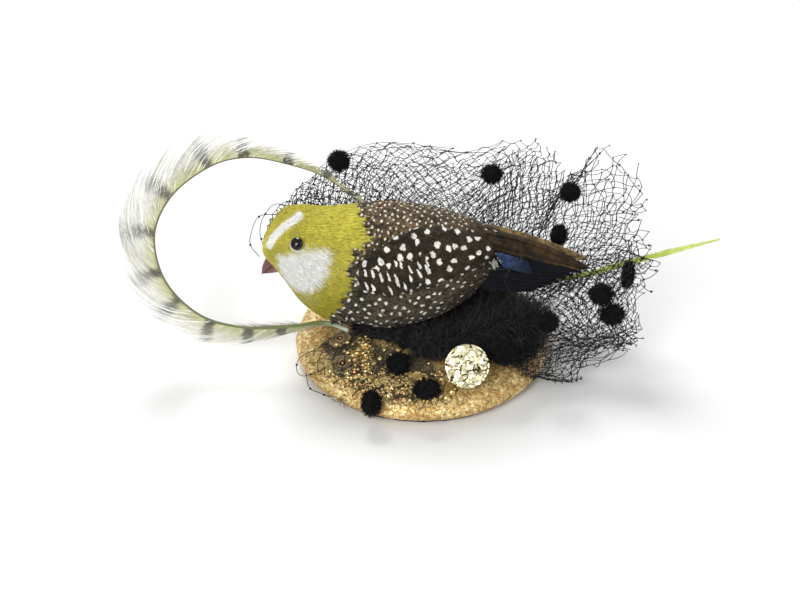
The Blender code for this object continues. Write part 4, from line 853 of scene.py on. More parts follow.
def curled_feather():
    line = spline(FEATHER_LINE, 420)
    gap = np.linalg.norm(np.diff(line, axis=0), axis=1)
    length = np.concatenate([[0], np.cumsum(gap)])
    total = length[-1]
    share = length / total
    shaft = Pile()
    thin = line[10::3]
    place = share[10::3]
    radius = np.interp(place, (0, 0.05, 0.12, 0.4, 1), (0.8, 0.85, 0.6, 0.38, 0.15))
    pale = np.clip(1 - place / 0.075, 0, 1)[None, :, None]
    green = np.clip(1 - place / 0.40, 0, 1)[None, :, None]
    spine = np.array((0.17, 0.175, 0.11)) * (1 - green) + np.array((0.15, 0.22, 0.05)) * green
    spine = spine * (1 - pale) + np.array((0.80, 0.82, 0.76)) * pale
    bundle(shaft, thin, radius, 8, spine)
    piece("curled_feather_quill", shaft, FIBRE, stands_for=["curled_feather_shaft"])
    tangent = unit(np.gradient(line, axis=0))
    outward = line - np.array(FEATHER_MIDDLE)
    outward = unit(outward - tangent * np.sum(outward * tangent, axis=1, keepdims=True))
    face = unit(np.cross(tangent, outward))

    def along_shaft(values, place):
        return np.stack([np.interp(place, share, values[:, k]) for k in range(3)], axis=-1)

    draw = np.random.default_rng(51)
    vane = Pile()
    number = 1900
    at = np.sort(draw.uniform(0.03, 0.97, number))
    along_mm = at * total
    zero = np.zeros(number)
    clump = value_noise(np.stack([along_mm, zero, zero], axis=-1), 2.4, 2)
    loose = value_noise(np.stack([along_mm, zero + 9, zero], axis=-1), 8.0, 5)
    lock = np.round(along_mm / 2.6 + 0.35 * loose)
    to_lock = np.clip((lock * 2.6 - along_mm) / 2.6, -0.6, 0.6)
    lean = np.radians(14 + 5 * clump + 3 * loose + draw.normal(0, 1.0, number))
    full = np.maximum(np.interp(at, REACH_PLACES, VANE_REACH), 0.5) * (1.0 + 0.12 * loose + 0.10 * clump)
    full = full * np.where(draw.random(number) < 0.62, draw.uniform(0.22, 0.8, number), draw.uniform(0.88, 1.06, number))
    steps = 14
    step = np.linspace(0, 1, steps)[None, :]
    curve = lean[:, None] + 0.48 * (1 - step) ** 2
    part = (full / np.mean(np.sin(curve), axis=1))[:, None] / (steps - 1)
    start = np.zeros((number, 1))
    radial = np.concatenate([start, np.cumsum(np.sin(curve[:, :-1]) * part, axis=1)], axis=1)
    run = np.concatenate([start, np.cumsum(np.cos(curve[:, :-1]) * part / (1 + radial[:, :-1] / 38.0), axis=1)], axis=1) / total
    run = run * np.minimum(1, (0.992 - at) / run[:, -1])[:, None]
    place = at[:, None] + run + to_lock[:, None] * step * 1.5 / total
    radial = radial * (1 - 0.16 * np.abs(to_lock[:, None]) * step)
    wave = (loose * 2.4 + clump * 1.2 + draw.normal(0, 0.25, number))[:, None] * step ** 1.5
    path = along_shaft(line, place) + along_shaft(outward, place) * radial[..., None] + along_shaft(face, place) * wave[..., None]
    outness = np.clip(radial / 12.0, 0, 1)
    near = np.min(np.abs(place[:, :, None] - np.array(BAR_PLACES)), axis=2)
    ragged = value_noise(path.reshape(-1, 3), 2.2, 8).reshape(number, steps) * 0.006
    dark = np.clip((0.0112 + ragged - near) / 0.004, 0, 1) * (0.92 - 0.60 * outness)
    smoke = np.where(draw.random(number) < 0.14, 0.32, 0.0)[:, None] * np.interp(step, (0, 0.3, 1), (0.1, 0.8, 1.0))
    green = np.clip(1 - outness / 0.5, 0, 1)[..., None]
    tint = np.array(CREAM) * (1 - green) + np.array(CREAM_GREEN) * green
    low = np.clip(1 - at / 0.20, 0, 1)[:, None, None]
    tint = tint * (1 - 0.8 * low) + np.array((0.15, 0.17, 0.04)) * 0.8 * low
    dark = np.maximum(dark, smoke)[..., None]
    tint = tint * (1 - dark) + np.array(BAR_GREY) * dark
    tint = tint * draw.uniform(0.88, 1.10, number)[:, None, None]
    radius = np.interp(np.linspace(0, 1, steps), (0, 0.2, 0.6, 1), (0.12, 0.125, 0.06, 0.012))[None, :]
    bundle(vane, path, radius, 3, tint, along_shaft(face, at), 0.6)
    number = 70
    at = draw.uniform(0.10, 0.20, number)
    lean = np.radians(draw.normal(13, 4, number))
    step = np.linspace(0, 1, 6)[None, :, None]
    reach = draw.uniform(5, 11, number)
    way = -along_shaft(outward, at) * np.sin(lean)[:, None] + along_shaft(tangent, at) * np.cos(lean)[:, None] + draw.normal(0, 0.03, (number, 3))
    path = along_shaft(line, at)[:, None, :] + way[:, None, :] * reach[:, None, None] * step
    bundle(vane, path, np.array([0.08, 0.09, 0.08, 0.06, 0.04, 0.02])[None, :], 3, FRINGE_TAN)
    piece("curled_feather_barbs", vane, DOWN, stands_for=["curled_feather_vane"])


def lime_feather():
    draw = np.random.default_rng(61)
    pile = Pile()
    line = spline(GREEN_LINE, 240)
    tangent = unit(np.gradient(line, axis=0))
    widths = np.interp(np.linspace(0, 1, 240), np.linspace(0, 1, len(GREEN_WIDTHS)), GREEN_WIDTHS)
    behind = np.clip(1 - np.linspace(0, 1, 240) / 0.26, 0, 1)[:, None]
    line = line + np.array([0.0, 6.0, -1.0]) * behind
    bundle(pile, line[::3], np.interp(np.linspace(0, 1, 80), (0, 1), (0.5, 0.15)), 6, LIME_DEEP)
    up = unit(np.cross(tangent, (0, 1, 0)) * -1)
    for side in (-1, 1):
        number = 520
        at = np.sort(draw.uniform(0, 0.99, number))
        pick = (at * 239).astype(int)
        clump = value_noise(np.stack([at * 70, np.full(number, side * 5.0), np.zeros(number)], axis=-1), 2.2, 12)
        lean = np.radians(30 + 9 * clump + draw.normal(0, 2, number))
        reach = widths[pick] * 0.55 / np.sin(lean) * (1 + 0.15 * clump)
        step = np.linspace(0, 1, 5)[None, :, None]
        way = side * up[pick] * np.sin(lean)[:, None] + tangent[pick] * np.cos(lean)[:, None]
        bow = np.array([0, -1.0, 0]) * (0.5 * step * (1 - step))
        path = line[pick][:, None, :] + way[:, None, :] * reach[:, None, None] * step + bow + draw.normal(0, 0.06, (number, 1, 3)) * step
        deep = np.clip(np.abs(at - 0.62) < 0.10, 0, 1)[:, None]
        tint = (np.array(LIME) * (1 - 0.6 * deep) + np.array(LIME_DEEP) * 0.6 * deep) * draw.uniform(0.8, 1.2, (number, 1))
        bundle(pile, path, np.array([0.16, 0.2, 0.17, 0.12, 0.03])[None, :], 3, tint, (0, -1, 0), 0.5)
    piece("lime_feather_barbs", pile, DOWN, stands_for=["green_feather"])


# ---------------------------------------------------------------- veiling
THREAD_RADIUS = 0.145
KNOT_RADIUS = 0.30


def fan_surface(pairs, bulge):
    """A function from (place along the gather, place from root to edge), both 0 to 1, to a point."""
    pairs = np.asarray(pairs, float)
    root, edge = spline(pairs[:, 0], 200), spline(pairs[:, 1], 200)

    def surface(u, v):
        place = np.clip(u, 0, 1) * 199
        i = np.minimum(place.astype(int), 198)
        t = (place - i)[:, None]
        a, b = root[i] * (1 - t) + root[i + 1] * t, edge[i] * (1 - t) + edge[i + 1] * t
        v = np.asarray(v)[:, None]
        return a * (1 - v) + b * v + np.asarray(bulge) * (4 * v * (1 - v))
    return surface


def net(pile, surface, columns, rows, seed, fold=2.0, crumple=2.4, ragged=0.2, shift=(0, 0, 0), v_range=(0.0, 1.0), knots=True,
        radius=THREAD_RADIUS, u_range=(0.0, 1.0), folded=0.0):
    """Diamond net laid over a surface: threads from knot to knot, with folds, crumples and a ragged free edge."""
    draw = np.random.default_rng(seed)
    column, row = np.meshgrid(np.arange(columns + 1), np.arange(rows + 1), indexing="ij")
    width = u_range[1] - u_range[0]
    u = u_range[0] + width * (column + draw.normal(0, 0.10, column.shape)) / columns
    v = v_range[0] + (v_range[1] - v_range[0]) * (row + draw.normal(0, 0.10, row.shape)) / rows
    even = np.clip((folded - u) / 0.06, 0, 1)
    stretch = 1 + 0.10 * value_noise(np.stack([column[:, 0] / 3.0, np.zeros(columns + 1), np.zeros(columns + 1)], axis=-1), 1.0, seed) * \
        (1 - 0.85 * even[:, 0])
    v = v * stretch[:, None] * (1 - 0.075 * even)
    point = surface(u.ravel(), v.ravel())
    weight = (np.clip(v.ravel() * 1.4, 0.1, 1) * (1 - 0.75 * even.ravel() * np.clip(v.ravel(), 0, 1) ** 2))[:, None]
    point = point + wobble(point, 14.0, seed, 2) * crumple * weight + wobble(point, 4.2, seed + 3) * 0.9
    ripple = np.sin(u.ravel() * columns / width * 0.55 + seed)[:, None] * fold * weight
    point = point + ripple * np.array([0.15, 1.0, 0.1]) + np.asarray(shift)
    over_dome = np.hypot(point[:, 0], point[:, 1]) < 49
    point[:, 2] = np.where(over_dome, np.maximum(point[:, 2], dome_z(point[:, 0], point[:, 1], 0.7)), np.maximum(point[:, 2], 0.6))
    point = point.reshape(columns + 1, rows + 1, 3)
    limit = rows - np.floor(draw.random(columns + 1) ** 3 * rows * ragged * 2) * (even[:, 0] < 0.5)
    there = ((column + row) % 2 == 0) & (row <= limit[:, None])
    place = np.arange(point.shape[0] * point.shape[1]).reshape(point.shape[:2])
    point = point.reshape(-1, 3)
    first, last = [], []
    for side in (-1, 1):
        near = slice(1, None) if side < 0 else slice(0, -1)
        far = slice(0, -1) if side < 0 else slice(1, None)
        pick = there[near, :-1] & there[far, 1:]
        first.append(place[near, :-1][pick])
        last.append(place[far, 1:][pick])
    if folded:
        fold_edge = [place[c, rows] for c in range(columns + 1) if (c + rows) % 2 == 0 and even[c, rows] > 0.3]
        first.append(np.array(fold_edge[:-1], int))
        last.append(np.array(fold_edge[1:], int))
    first, last = np.concatenate(first), np.concatenate(last)
    starts, ends = point[first], point[last]
    step = np.linspace(0, 1, 5)[None, :, None]
    sag = draw.normal(0, 0.50, (len(starts), 1, 3)) + np.array([0, 0, -0.15])
    path = starts[:, None, :] * (1 - step) + ends[:, None, :] * step + sag * (4 * step * (1 - step))
    bundle(pile, path, radius, 4, np.array(BLACK), closed=False)
    if knots:
        used = point[np.unique(np.concatenate([first, last]))]
        number = len(used)
        way = unit(draw.normal(0, 1, (number, 3)))
        size = draw.uniform(0.7, 1.25, number)[:, None, None] * KNOT_RADIUS
        stretch = np.linspace(-1, 1, 4)[None, :, None]
        bundle(pile, used[:, None, :] + way[:, None, :] * stretch * size * 1.1, np.array([0.35, 1.0, 1.0, 0.35])[None, :] * size[:, :, 0], 5,
               np.array(BLACK), closed=False)
    pitch = float(np.linalg.norm(ends - starts, axis=1).mean()) / math.sqrt(2) * MM
    return columns * pitch, rows * pitch


def strand(pile, points, radius=THREAD_RADIUS, knots=(), count=40):
    path = spline(points, count)
    bundle(pile, path, radius, 5, np.array(BLACK))
    for k in knots:
        ball(pile, path[int(k * (count - 1))], (0.5, 0.45, 0.5), BLACK, 5, 7)


def veil(name, pile, cad):
    obj = piece(name, pile, THREAD, stands_for=cad)
    return obj


def veils():
    surface = fan_surface(VEIL_WRAP + BACK_VEIL[2:], (0, 5, 0))
    layers = (((0, 0, 0), 1.03, 3, 1.0), ((1.5, 4, -1), 0.97, 8, 1.0), ((-2, -4, 0), 0.90, 13, 1.0), ((2, 8, 0), 0.82, 19, 0.7),
              ((-1, 2, 1), 1.0, 61, 0.45), ((1, -1, 0), 0.62, 71, 0.6), ((-1, 6, -1), 0.50, 77, 0.6))
    for layer, (shift, span, seed, reach) in enumerate(layers):
        pile = Pile()
        rows = max(9, round(18 * span))
        cut = net(pile, surface, round(84 * reach), rows, seed, 1.8, 3.0, 0.12, shift, (0.06, span), u_range=(0.0, reach), folded=0.55 if span > 0.85 else 0.0)
        stands = ["veil_back"] if layer == 0 else []
        veil(f"veil_back_net_{layer + 1}", pile, stands)
    pairs = [(root, edge) for root, (_, edge) in zip(SIDE_ROOTS, SIDE_VEIL)]
    surface = fan_surface(pairs, (0, -3, 0))
    layers = (((0, 0, 0), 0.0, 1.0, 23, 1.0), ((-1, 3.5, 0.5), 0.05, 0.97, 29, 1.0), ((1, 6, 0), 0.0, 0.93, 37, 0.8),
              ((0, 4, 2), 0.1, 0.98, 67, 0.6), ((-1, -2, 1), 0.3, 0.95, 73, 0.6))
    for layer, (shift, start, span, seed, reach) in enumerate(layers):
        pile = Pile()
        cut = net(pile, surface, round(30 * reach), 19, seed, 1.6, 3.4, 0.10, shift, (start, span), u_range=(0.0, reach))
        stands = ["veil_side"] if layer == 0 else []
        veil(f"veil_side_net_{layer + 1}", pile, stands)
    pile = Pile()
    cut = net(pile, fan_surface(REAR_VEIL, (0, 2, 5)), 30, 7, 43, 0.8, 1.6, 0.2, (0, 0, 1.5), (0.0, 1.0))
    veil("veil_rear_net", pile, ["veil_rear"])


def dome_z(x, y, lift=0.0):
    r = np.minimum(np.hypot(x, y), BASE_RADIUS)
    return EQUATOR_Z + DOME_RISE * np.sqrt(np.maximum(1 - (r / BASE_RADIUS) ** 2, 0)) + lift


def on_dome(x, y, lift=0.0):
    x, y = np.asarray(x, float), np.asarray(y, float)
    return np.stack([x, y, dome_z(x, y, lift)], axis=-1)


def front_veil():
    """A strip of net pinned over the front of the dome, with loose threads at its ends."""
    pile = Pile()

    def surface(u, v):
        heading = np.radians(-158 + 78 * u)
        r = 49.5 - 16 * v
        x, y = r * np.cos(heading), r * np.sin(heading)
        return np.stack([x, y, dome_z(x, y, 3.2)], axis=-1)
    cut = net(pile, surface, 26, 6, 53, 0.3, 0.7, 0.3, (0, 0, 0.4))
    strand(pile, ((-36, -16, 14.5), (-42.4, -19.8, 13.5), (-46.9, -20.2, 11), (-48.6, -21.2, 8), (-48.2, -23.8, 6), (-45.6, -26, 6),
                  (-41, -27.5, 9), (-35.7, -28.8, 12.5)), knots=(0.45, 0.8))
    strand(pile, ((-45, -24, 6), (-43.5, -30, 3.5), (-39.4, -32.9, 3.2), (-34.5, -36.5, 4.0), (-30, -38.5, 7)), knots=(0.3, 0.6))
    strand(pile, on_dome([13.2, 11.4, 9.6], [-41.0, -43.0, -45.2], 0.7), knots=(0.95,))
    strand(pile, on_dome([2.7, 6.0, 9.6], [-44.2, -45.0, -45.2], 0.7), knots=(0.2,))
    draw = np.random.default_rng(54)
    number = 70
    start = np.stack([draw.normal(-29.5, 2.0, number), draw.normal(-38.5, 0.9, number), draw.normal(5.0, 0.8, number)], axis=-1)
    way = unit(np.stack([draw.normal(0.5, 0.5, number), draw.normal(-0.5, 0.4, number), draw.normal(0.0, 0.4, number)], axis=-1))
    step = np.linspace(0, 1, 4)[None, :, None]
    path = start[:, None, :] + way[:, None, :] * draw.uniform(1.5, 4.5, number)[:, None, None] * step + draw.normal(0, 0.3, (number, 4, 3)) * step
    bundle(pile, path, 0.10, 3, np.array(BLACK), closed=False)
    veil("veil_front_net", pile, ["veil_front"])


EDGE_CELLS = (
    ((74.3, -2.0, 63.4), (82.9, -2.0, 62.1), (80.3, -2.0, 53.3)),
    ((79.7, -6.0, 55.7), (87.0, -6.0, 53.1), (83.2, -6.0, 46.6)),
    ((82.9, -9.0, 46.9), (90.0, -9.0, 43.5), (83.9, -9.0, 39.2)),
    ((83.9, -10.0, 37.8), (88.5, -10.0, 34.4)),
    ((58.4, 14.0, 71.8), (68.7, 14.0, 83.7), (76.1, 14.0, 75.8)),
    ((75.3, 8.0, 79.3), (84.1, 8.0, 67.4), (76.0, 8.0, 58.4)),
)


def loose_threads():
    """Single threads and open cells that have come away from the net's edges."""
    pile = Pile()
    strand(pile, ((-46, 18, 50), (-58, 13, 55), (-63.5, 11, 55), (-66, 7, 51), (-66.5, 5, 46), (-63, 3, 42)), knots=(0.4, 0.8))
    strand(pile, ((-44, 18, 52), (-56, 16, 58), (-61, 13, 55), (-63, 10, 50), (-62, 8, 44)), knots=(0.5, 0.9))
    strand(pile, ((-31, -8, 20), (-35, -14, 22), (-34.5, -17, 25), (-31.5, -15, 25), (-31, -10, 21)), knots=(0.5,))
    for corner in EDGE_CELLS:
        for a, b in zip(corner, corner[1:]):
            strand(pile, (a, tuple((np.array(a) + np.array(b)) / 2 + np.array((0, -0.6, -0.5))), b), THREAD_RADIUS, (0.99,), 8)
    strand(pile, ((26, -12, 46), (33, -15, 49), (37, -14, 53), (34, -10, 57), (28, -6, 56)), knots=(0.5,))
    strand(pile, ((40, 2, 50), (34, -13, 49), (31, -18, 45), (36, -16, 36), (44, -8, 32)), knots=(0.35, 0.7))
    piece("veil_loose_threads", pile, THREAD)


# ---------------------------------------------------------------- fuzzy pieces
def chenille():
    for number, (centre, half) in enumerate(SPOTS, 1):
        draw = np.random.default_rng(100 + number)
        pile = Pile()
        half = np.array(half, float) * (1.2 if number in TWIN_SPOTS else 1.0)
        ball(pile, centre, half * 0.78, np.array(BLACK) * 0.5, 10, 14, 0.30, number)
        count = 900
        way = unit(draw.normal(0, 1, (count, 3)))
        root = np.array(centre) + way * half * 0.68
        lean = unit(way + draw.normal(0, 0.28, (count, 3)))
        step = np.linspace(0, 1, 3)[None, :, None]
        reach = draw.uniform(0.26, 0.48, count)[:, None, None] * half
        path = root[:, None, :] + lean[:, None, :] * reach * step + draw.normal(0, 0.10, (count, 1, 3)) * step ** 2
        tint = np.array(BLACK) * draw.uniform(0.25, 0.9, (count, 1))
        bundle(pile, path, np.array([0.13, 0.11, 0.03])[None, :], 3, tint)
        piece(f"chenille_dot_{number:02d}", pile, CHENILLE_FIBRE, stands_for=[f"chenille_spot_{number:02d}"])


def marabou():
    """Downy black fluff that fills the space under the belly and the tail."""
    draw = np.random.default_rng(71)
    pile = Pile()
    stations = spline(FLUFF, 60)
    bundle(pile, stations[:, :3], np.maximum(stations[:, 3] * 0.5, 0.6), 10, BLACK, (0, 0, 1))
    number = 3500
    pick = draw.integers(2, 59, number)
    middle, girth = stations[pick, :3], stations[pick, 3]
    turn = draw.uniform(0, TAU, number)
    way = unit(np.stack([draw.normal(0.25, 0.4, number), np.cos(turn), np.sin(turn)], axis=-1))
    root = middle + way * girth[:, None] * 0.3
    reach = girth * draw.uniform(0.8, 1.6, number) + 0.8
    extra = 9000
    x, y = draw.uniform(-28, 49, extra), draw.uniform(-33, 26, extra)
    near = draw.random(extra) < 0.17
    x = np.where(near, draw.uniform(-27, -3, extra), x)
    y = np.where(near, draw.uniform(-23, -6, extra), y)
    low = np.interp(x, [p[0] for p in FLUFF_FRONT], [p[1] for p in FLUFF_FRONT]) + draw.normal(0, 1.2, extra)
    high = np.interp(x, (-28, -16, 0, 20, 34, 49), (-5, -5, 0, 16, 24, 12))
    keep = (y > low) & (y < high) & (np.hypot(x, y) < 48.8) & (np.hypot(x - DISC_CENTRE[0], y - DISC_CENTRE[1] - 5) > 8.4)
    x, y = x[keep], y[keep]
    turn = draw.uniform(0, TAU, len(x))
    way = np.concatenate([way, unit(np.stack([0.7 * np.cos(turn), 0.7 * np.sin(turn) - 0.2, draw.uniform(0.2, 1.6, len(x))], axis=-1))])
    root = np.concatenate([root, on_dome(x, y, draw.uniform(0.5, 3.0, len(x)))])
    inner = np.clip((y - low[keep]) / 8, 0.5, 1) * np.interp(x, (-28, -8, 0, 14, 40, 49), (0.42, 0.6, 0.75, 1.0, 1.0, 0.8))
    reach = np.concatenate([reach, draw.uniform(6.0, 15.0, len(x)) * inner])
    number = len(root)
    step = np.linspace(0, 1, 4)[None, :, None]
    droop = np.array([0, -0.15, -1.0]) * (draw.uniform(0.3, 2.4, number)[:, None, None] * step ** 2)
    curl = draw.normal(0, 0.8, (number, 1, 3)) * np.sin(step * 3.0)
    path = root[:, None, :] + way[:, None, :] * reach[:, None, None] * step + droop + curl
    floor = dome_z(path[..., 0], path[..., 1], 0.6)
    path[..., 2] = np.where(np.hypot(path[..., 0], path[..., 1]) < 49, np.maximum(path[..., 2], floor), path[..., 2])
    tint = np.array(BLACK) * (0.7 + 2.6 * draw.random((number, 1)) ** 2.5) * np.where(draw.random((number, 1)) < 0.28, np.array([[4.6, 4.2, 3.2]]), 1.0)
    wisps = draw.choice(number - extra // 3, 560, replace=False) + extra // 3
    path[wisps] = path[wisps] + (path[wisps] - root[wisps][:, None, :]) * 0.35
    tint[wisps] = np.array([0.085, 0.066, 0.042]) * draw.uniform(0.5, 1.3, (560, 1))
    clear = np.ones(number, bool)
    for centre, half in SPOTS:
        clear &= (np.linalg.norm((path - np.array(centre)) / np.array(half), axis=2) > 1.3).all(axis=1)
    bundle(pile, path[clear], np.array([0.12, 0.12, 0.08, 0.02])[None, :], 3, tint[clear])
    piece("marabou_hairs", pile, BLACK_FIBRE, stands_for=["marabou_fluff"])
    # painted shade: a mat of dark lumps on the dome under the fluff, standing both for the packed roots of the fluff
    # and for the shade under the bird
    mat = Pile()
    for x in np.arange(-26, 49, 2.5):
        for y in np.arange(-30, 25, 2.5):
            x1, y1 = x + draw.normal(0, 0.6), y + draw.normal(0, 0.6)
            front = np.interp(x1, [p[0] for p in FLUFF_FRONT], [p[1] for p in FLUFF_FRONT]) + 2.0
            behind = np.interp(x1, (-28, -16, 0, 20, 34, 49), (-6, -6, -2, 13, 21, 9))
            clear_of_disc = math.hypot(x1 - DISC_CENTRE[0], y1 - DISC_CENTRE[1] - 5) > 10.5
            if front < y1 < behind and math.hypot(x1, y1) < 45.5 and clear_of_disc:
                ball(mat, on_dome(x1, y1, 0.7), (2.6, 2.6, draw.uniform(0.8, 1.6)), np.array(BLACK) * 0.8, 5, 9, 0.25, int(x1 * 31 + y1) % 997)
    piece("marabou_shade_mat", mat, BLACK_FIBRE)


# ---------------------------------------------------------------- the base and what is sewn on it
def base_cover():
    """Crinkled leather drawn over the dome and turned under the rim."""
    pile = Pile()
    profile = []
    for k in range(46):
        r = 50.0 * math.sin(math.pi / 2 * k / 45)
        profile.append((r, dome_z(r, 0.0), 1.0))
    for k in range(1, 12):
        a = math.radians(-k * 11.5)
        profile.append((44.5 + 5.5 * math.cos(a), 4.5 + 3.6 * math.sin(a), 0.8))
    for k in range(11, -1, -1):
        a = math.radians(-k * 11.5)
        profile.append((44.5 + 4.6 * math.cos(a), 4.5 + 2.7 * math.sin(a), 0.0))
    for k in range(20, -1, -1):
        r = 49.1 * math.sin(math.pi / 2 * k / 21)
        profile.append((r, EQUATOR_Z + (DOME_RISE - 0.9) * math.sqrt(1 - (r / 49.1) ** 2), 0.0))
    sides = 420
    rows = [p for p in profile if p[0] > 0.01]
    turn = np.arange(sides) * TAU / sides
    grid = np.array([[(r * math.cos(t), r * math.sin(t), z) for t in turn] for r, z, _ in rows])
    weight = np.array([w for _, _, w in rows])[:, None]
    flat = grid.reshape(-1, 3)
    out = unit(flat / np.array([1, 1, 0.35]) - np.array([0, 0, 4.0]))
    ridges = np.array([noise.ridged_multi_fractal(Vector(p) / 7.5, 1.0, 2.1, 4, 1.0, 2.0) for p in flat])
    fine = value_noise(flat, 1.7, 5)
    height = ((ridges - ridges.mean()) * 0.30 + fine * 0.16).reshape(len(rows), sides) * weight
    grid = grid + out.reshape(grid.shape) * np.clip(height, -0.25, 0.75)[..., None]
    index = np.arange(len(rows) * sides).reshape(len(rows), sides)
    after = np.roll(index, -1, axis=1)
    quads = np.stack([index[:-1], index[1:], after[1:], after[:-1]], axis=-1).reshape(-1, 4)
    points = np.concatenate([grid.reshape(-1, 3), [[0, 0, EQUATOR_Z + DOME_RISE], [0, 0, EQUATOR_Z + DOME_RISE - 0.9]]])
    top, under = len(points) - 2, len(points) - 1
    caps = [(top, index[0, k], after[0, k]) for k in range(sides)] + [(under, after[-1, k], index[-1, k]) for k in range(sides)]
    pile.add(points, [quads, caps], (1, 1, 1))
    cover = piece("base_cover_gold", pile, gold_leather(), stands_for=["base_cover"])


def gold_disc():
    """A round of crumpled foil."""
    pile = Pile()
    rings, sides = 30, 84
    c, s = math.cos(DISC_TILT), math.sin(DISC_TILT)
    points = []
    for face in (1, -1):
        for k in range(1, rings + 1):
            for j in range(sides):
                t = TAU * j / sides
                r = 0.95 * DISC_RADIUS * k / rings * (1 + 0.03 * noise.noise(Vector((math.cos(t) * 2, math.sin(t) * 2, 1.0))) * (k / rings))
                x, y = r * math.cos(t), r * math.sin(t)
                near, seeds = noise.voronoi(Vector((x / 3.6, y / 3.6, 0.3)))[:2]
                own = noise.noise(seeds[0] * 9.7)
                lump = 0.55 * min(near[1] - near[0], 0.5) + 0.35 * own + 0.35 * noise.noise(Vector((x / 2.2, y / 2.2, 4.0)))
                lump -= 0.25 * (k / rings) ** 3
                h = (0.55 if face > 0 else -0.35) + (lump if face > 0 else 0.25 * lump) * min(1.0, (rings - k) / 2.5)
                points.append((x, y, h))
    points += [(0, 0, 0.8), (0, 0, -0.35)]
    p = np.array(points)
    y, z = p[:, 1] * c - p[:, 2] * s, p[:, 1] * s + p[:, 2] * c
    p = np.stack([p[:, 0], y, z], axis=-1) + np.array(DISC_CENTRE)
    upper = np.arange(rings * sides).reshape(rings, sides)
    lower = upper + rings * sides
    after, below = np.roll(upper, -1, axis=1), np.roll(lower, -1, axis=1)
    quads = np.concatenate([np.stack([upper[:-1], upper[1:], after[1:], after[:-1]], axis=-1).reshape(-1, 4),
                            np.stack([lower[:-1], below[:-1], below[1:], lower[1:]], axis=-1).reshape(-1, 4),
                            np.stack([upper[-1], lower[-1], below[-1], after[-1]], axis=-1).reshape(-1, 4)])
    top = 2 * rings * sides
    caps = [(top, upper[0, k], after[0, k]) for k in range(sides)] + [(top + 1, below[0, k], lower[0, k]) for k in range(sides)]
    pile.add(p, [quads, caps], (1, 1, 1))
    piece("gold_disc_foil", pile, GOLD_FOIL, stands_for=["gold_disc"])


def dome_ring(pile, x, y, radius, lift, thick, tint, petals=0, depth=0.0, sides=5, kind=0):
    """A corded ring on the dome, plain or with petals."""
    count = 16 if not petals else petals * 8
    turn = np.linspace(0, TAU, count + 1)
    r = radius * (1 + depth * np.cos(petals * turn)) if petals else np.full(count + 1, radius)
    bundle(pile, on_dome(x + r * np.cos(turn), y + r * np.sin(turn), lift), thick, sides, tint, (0, 0, 1), 1.0, kind=kind)


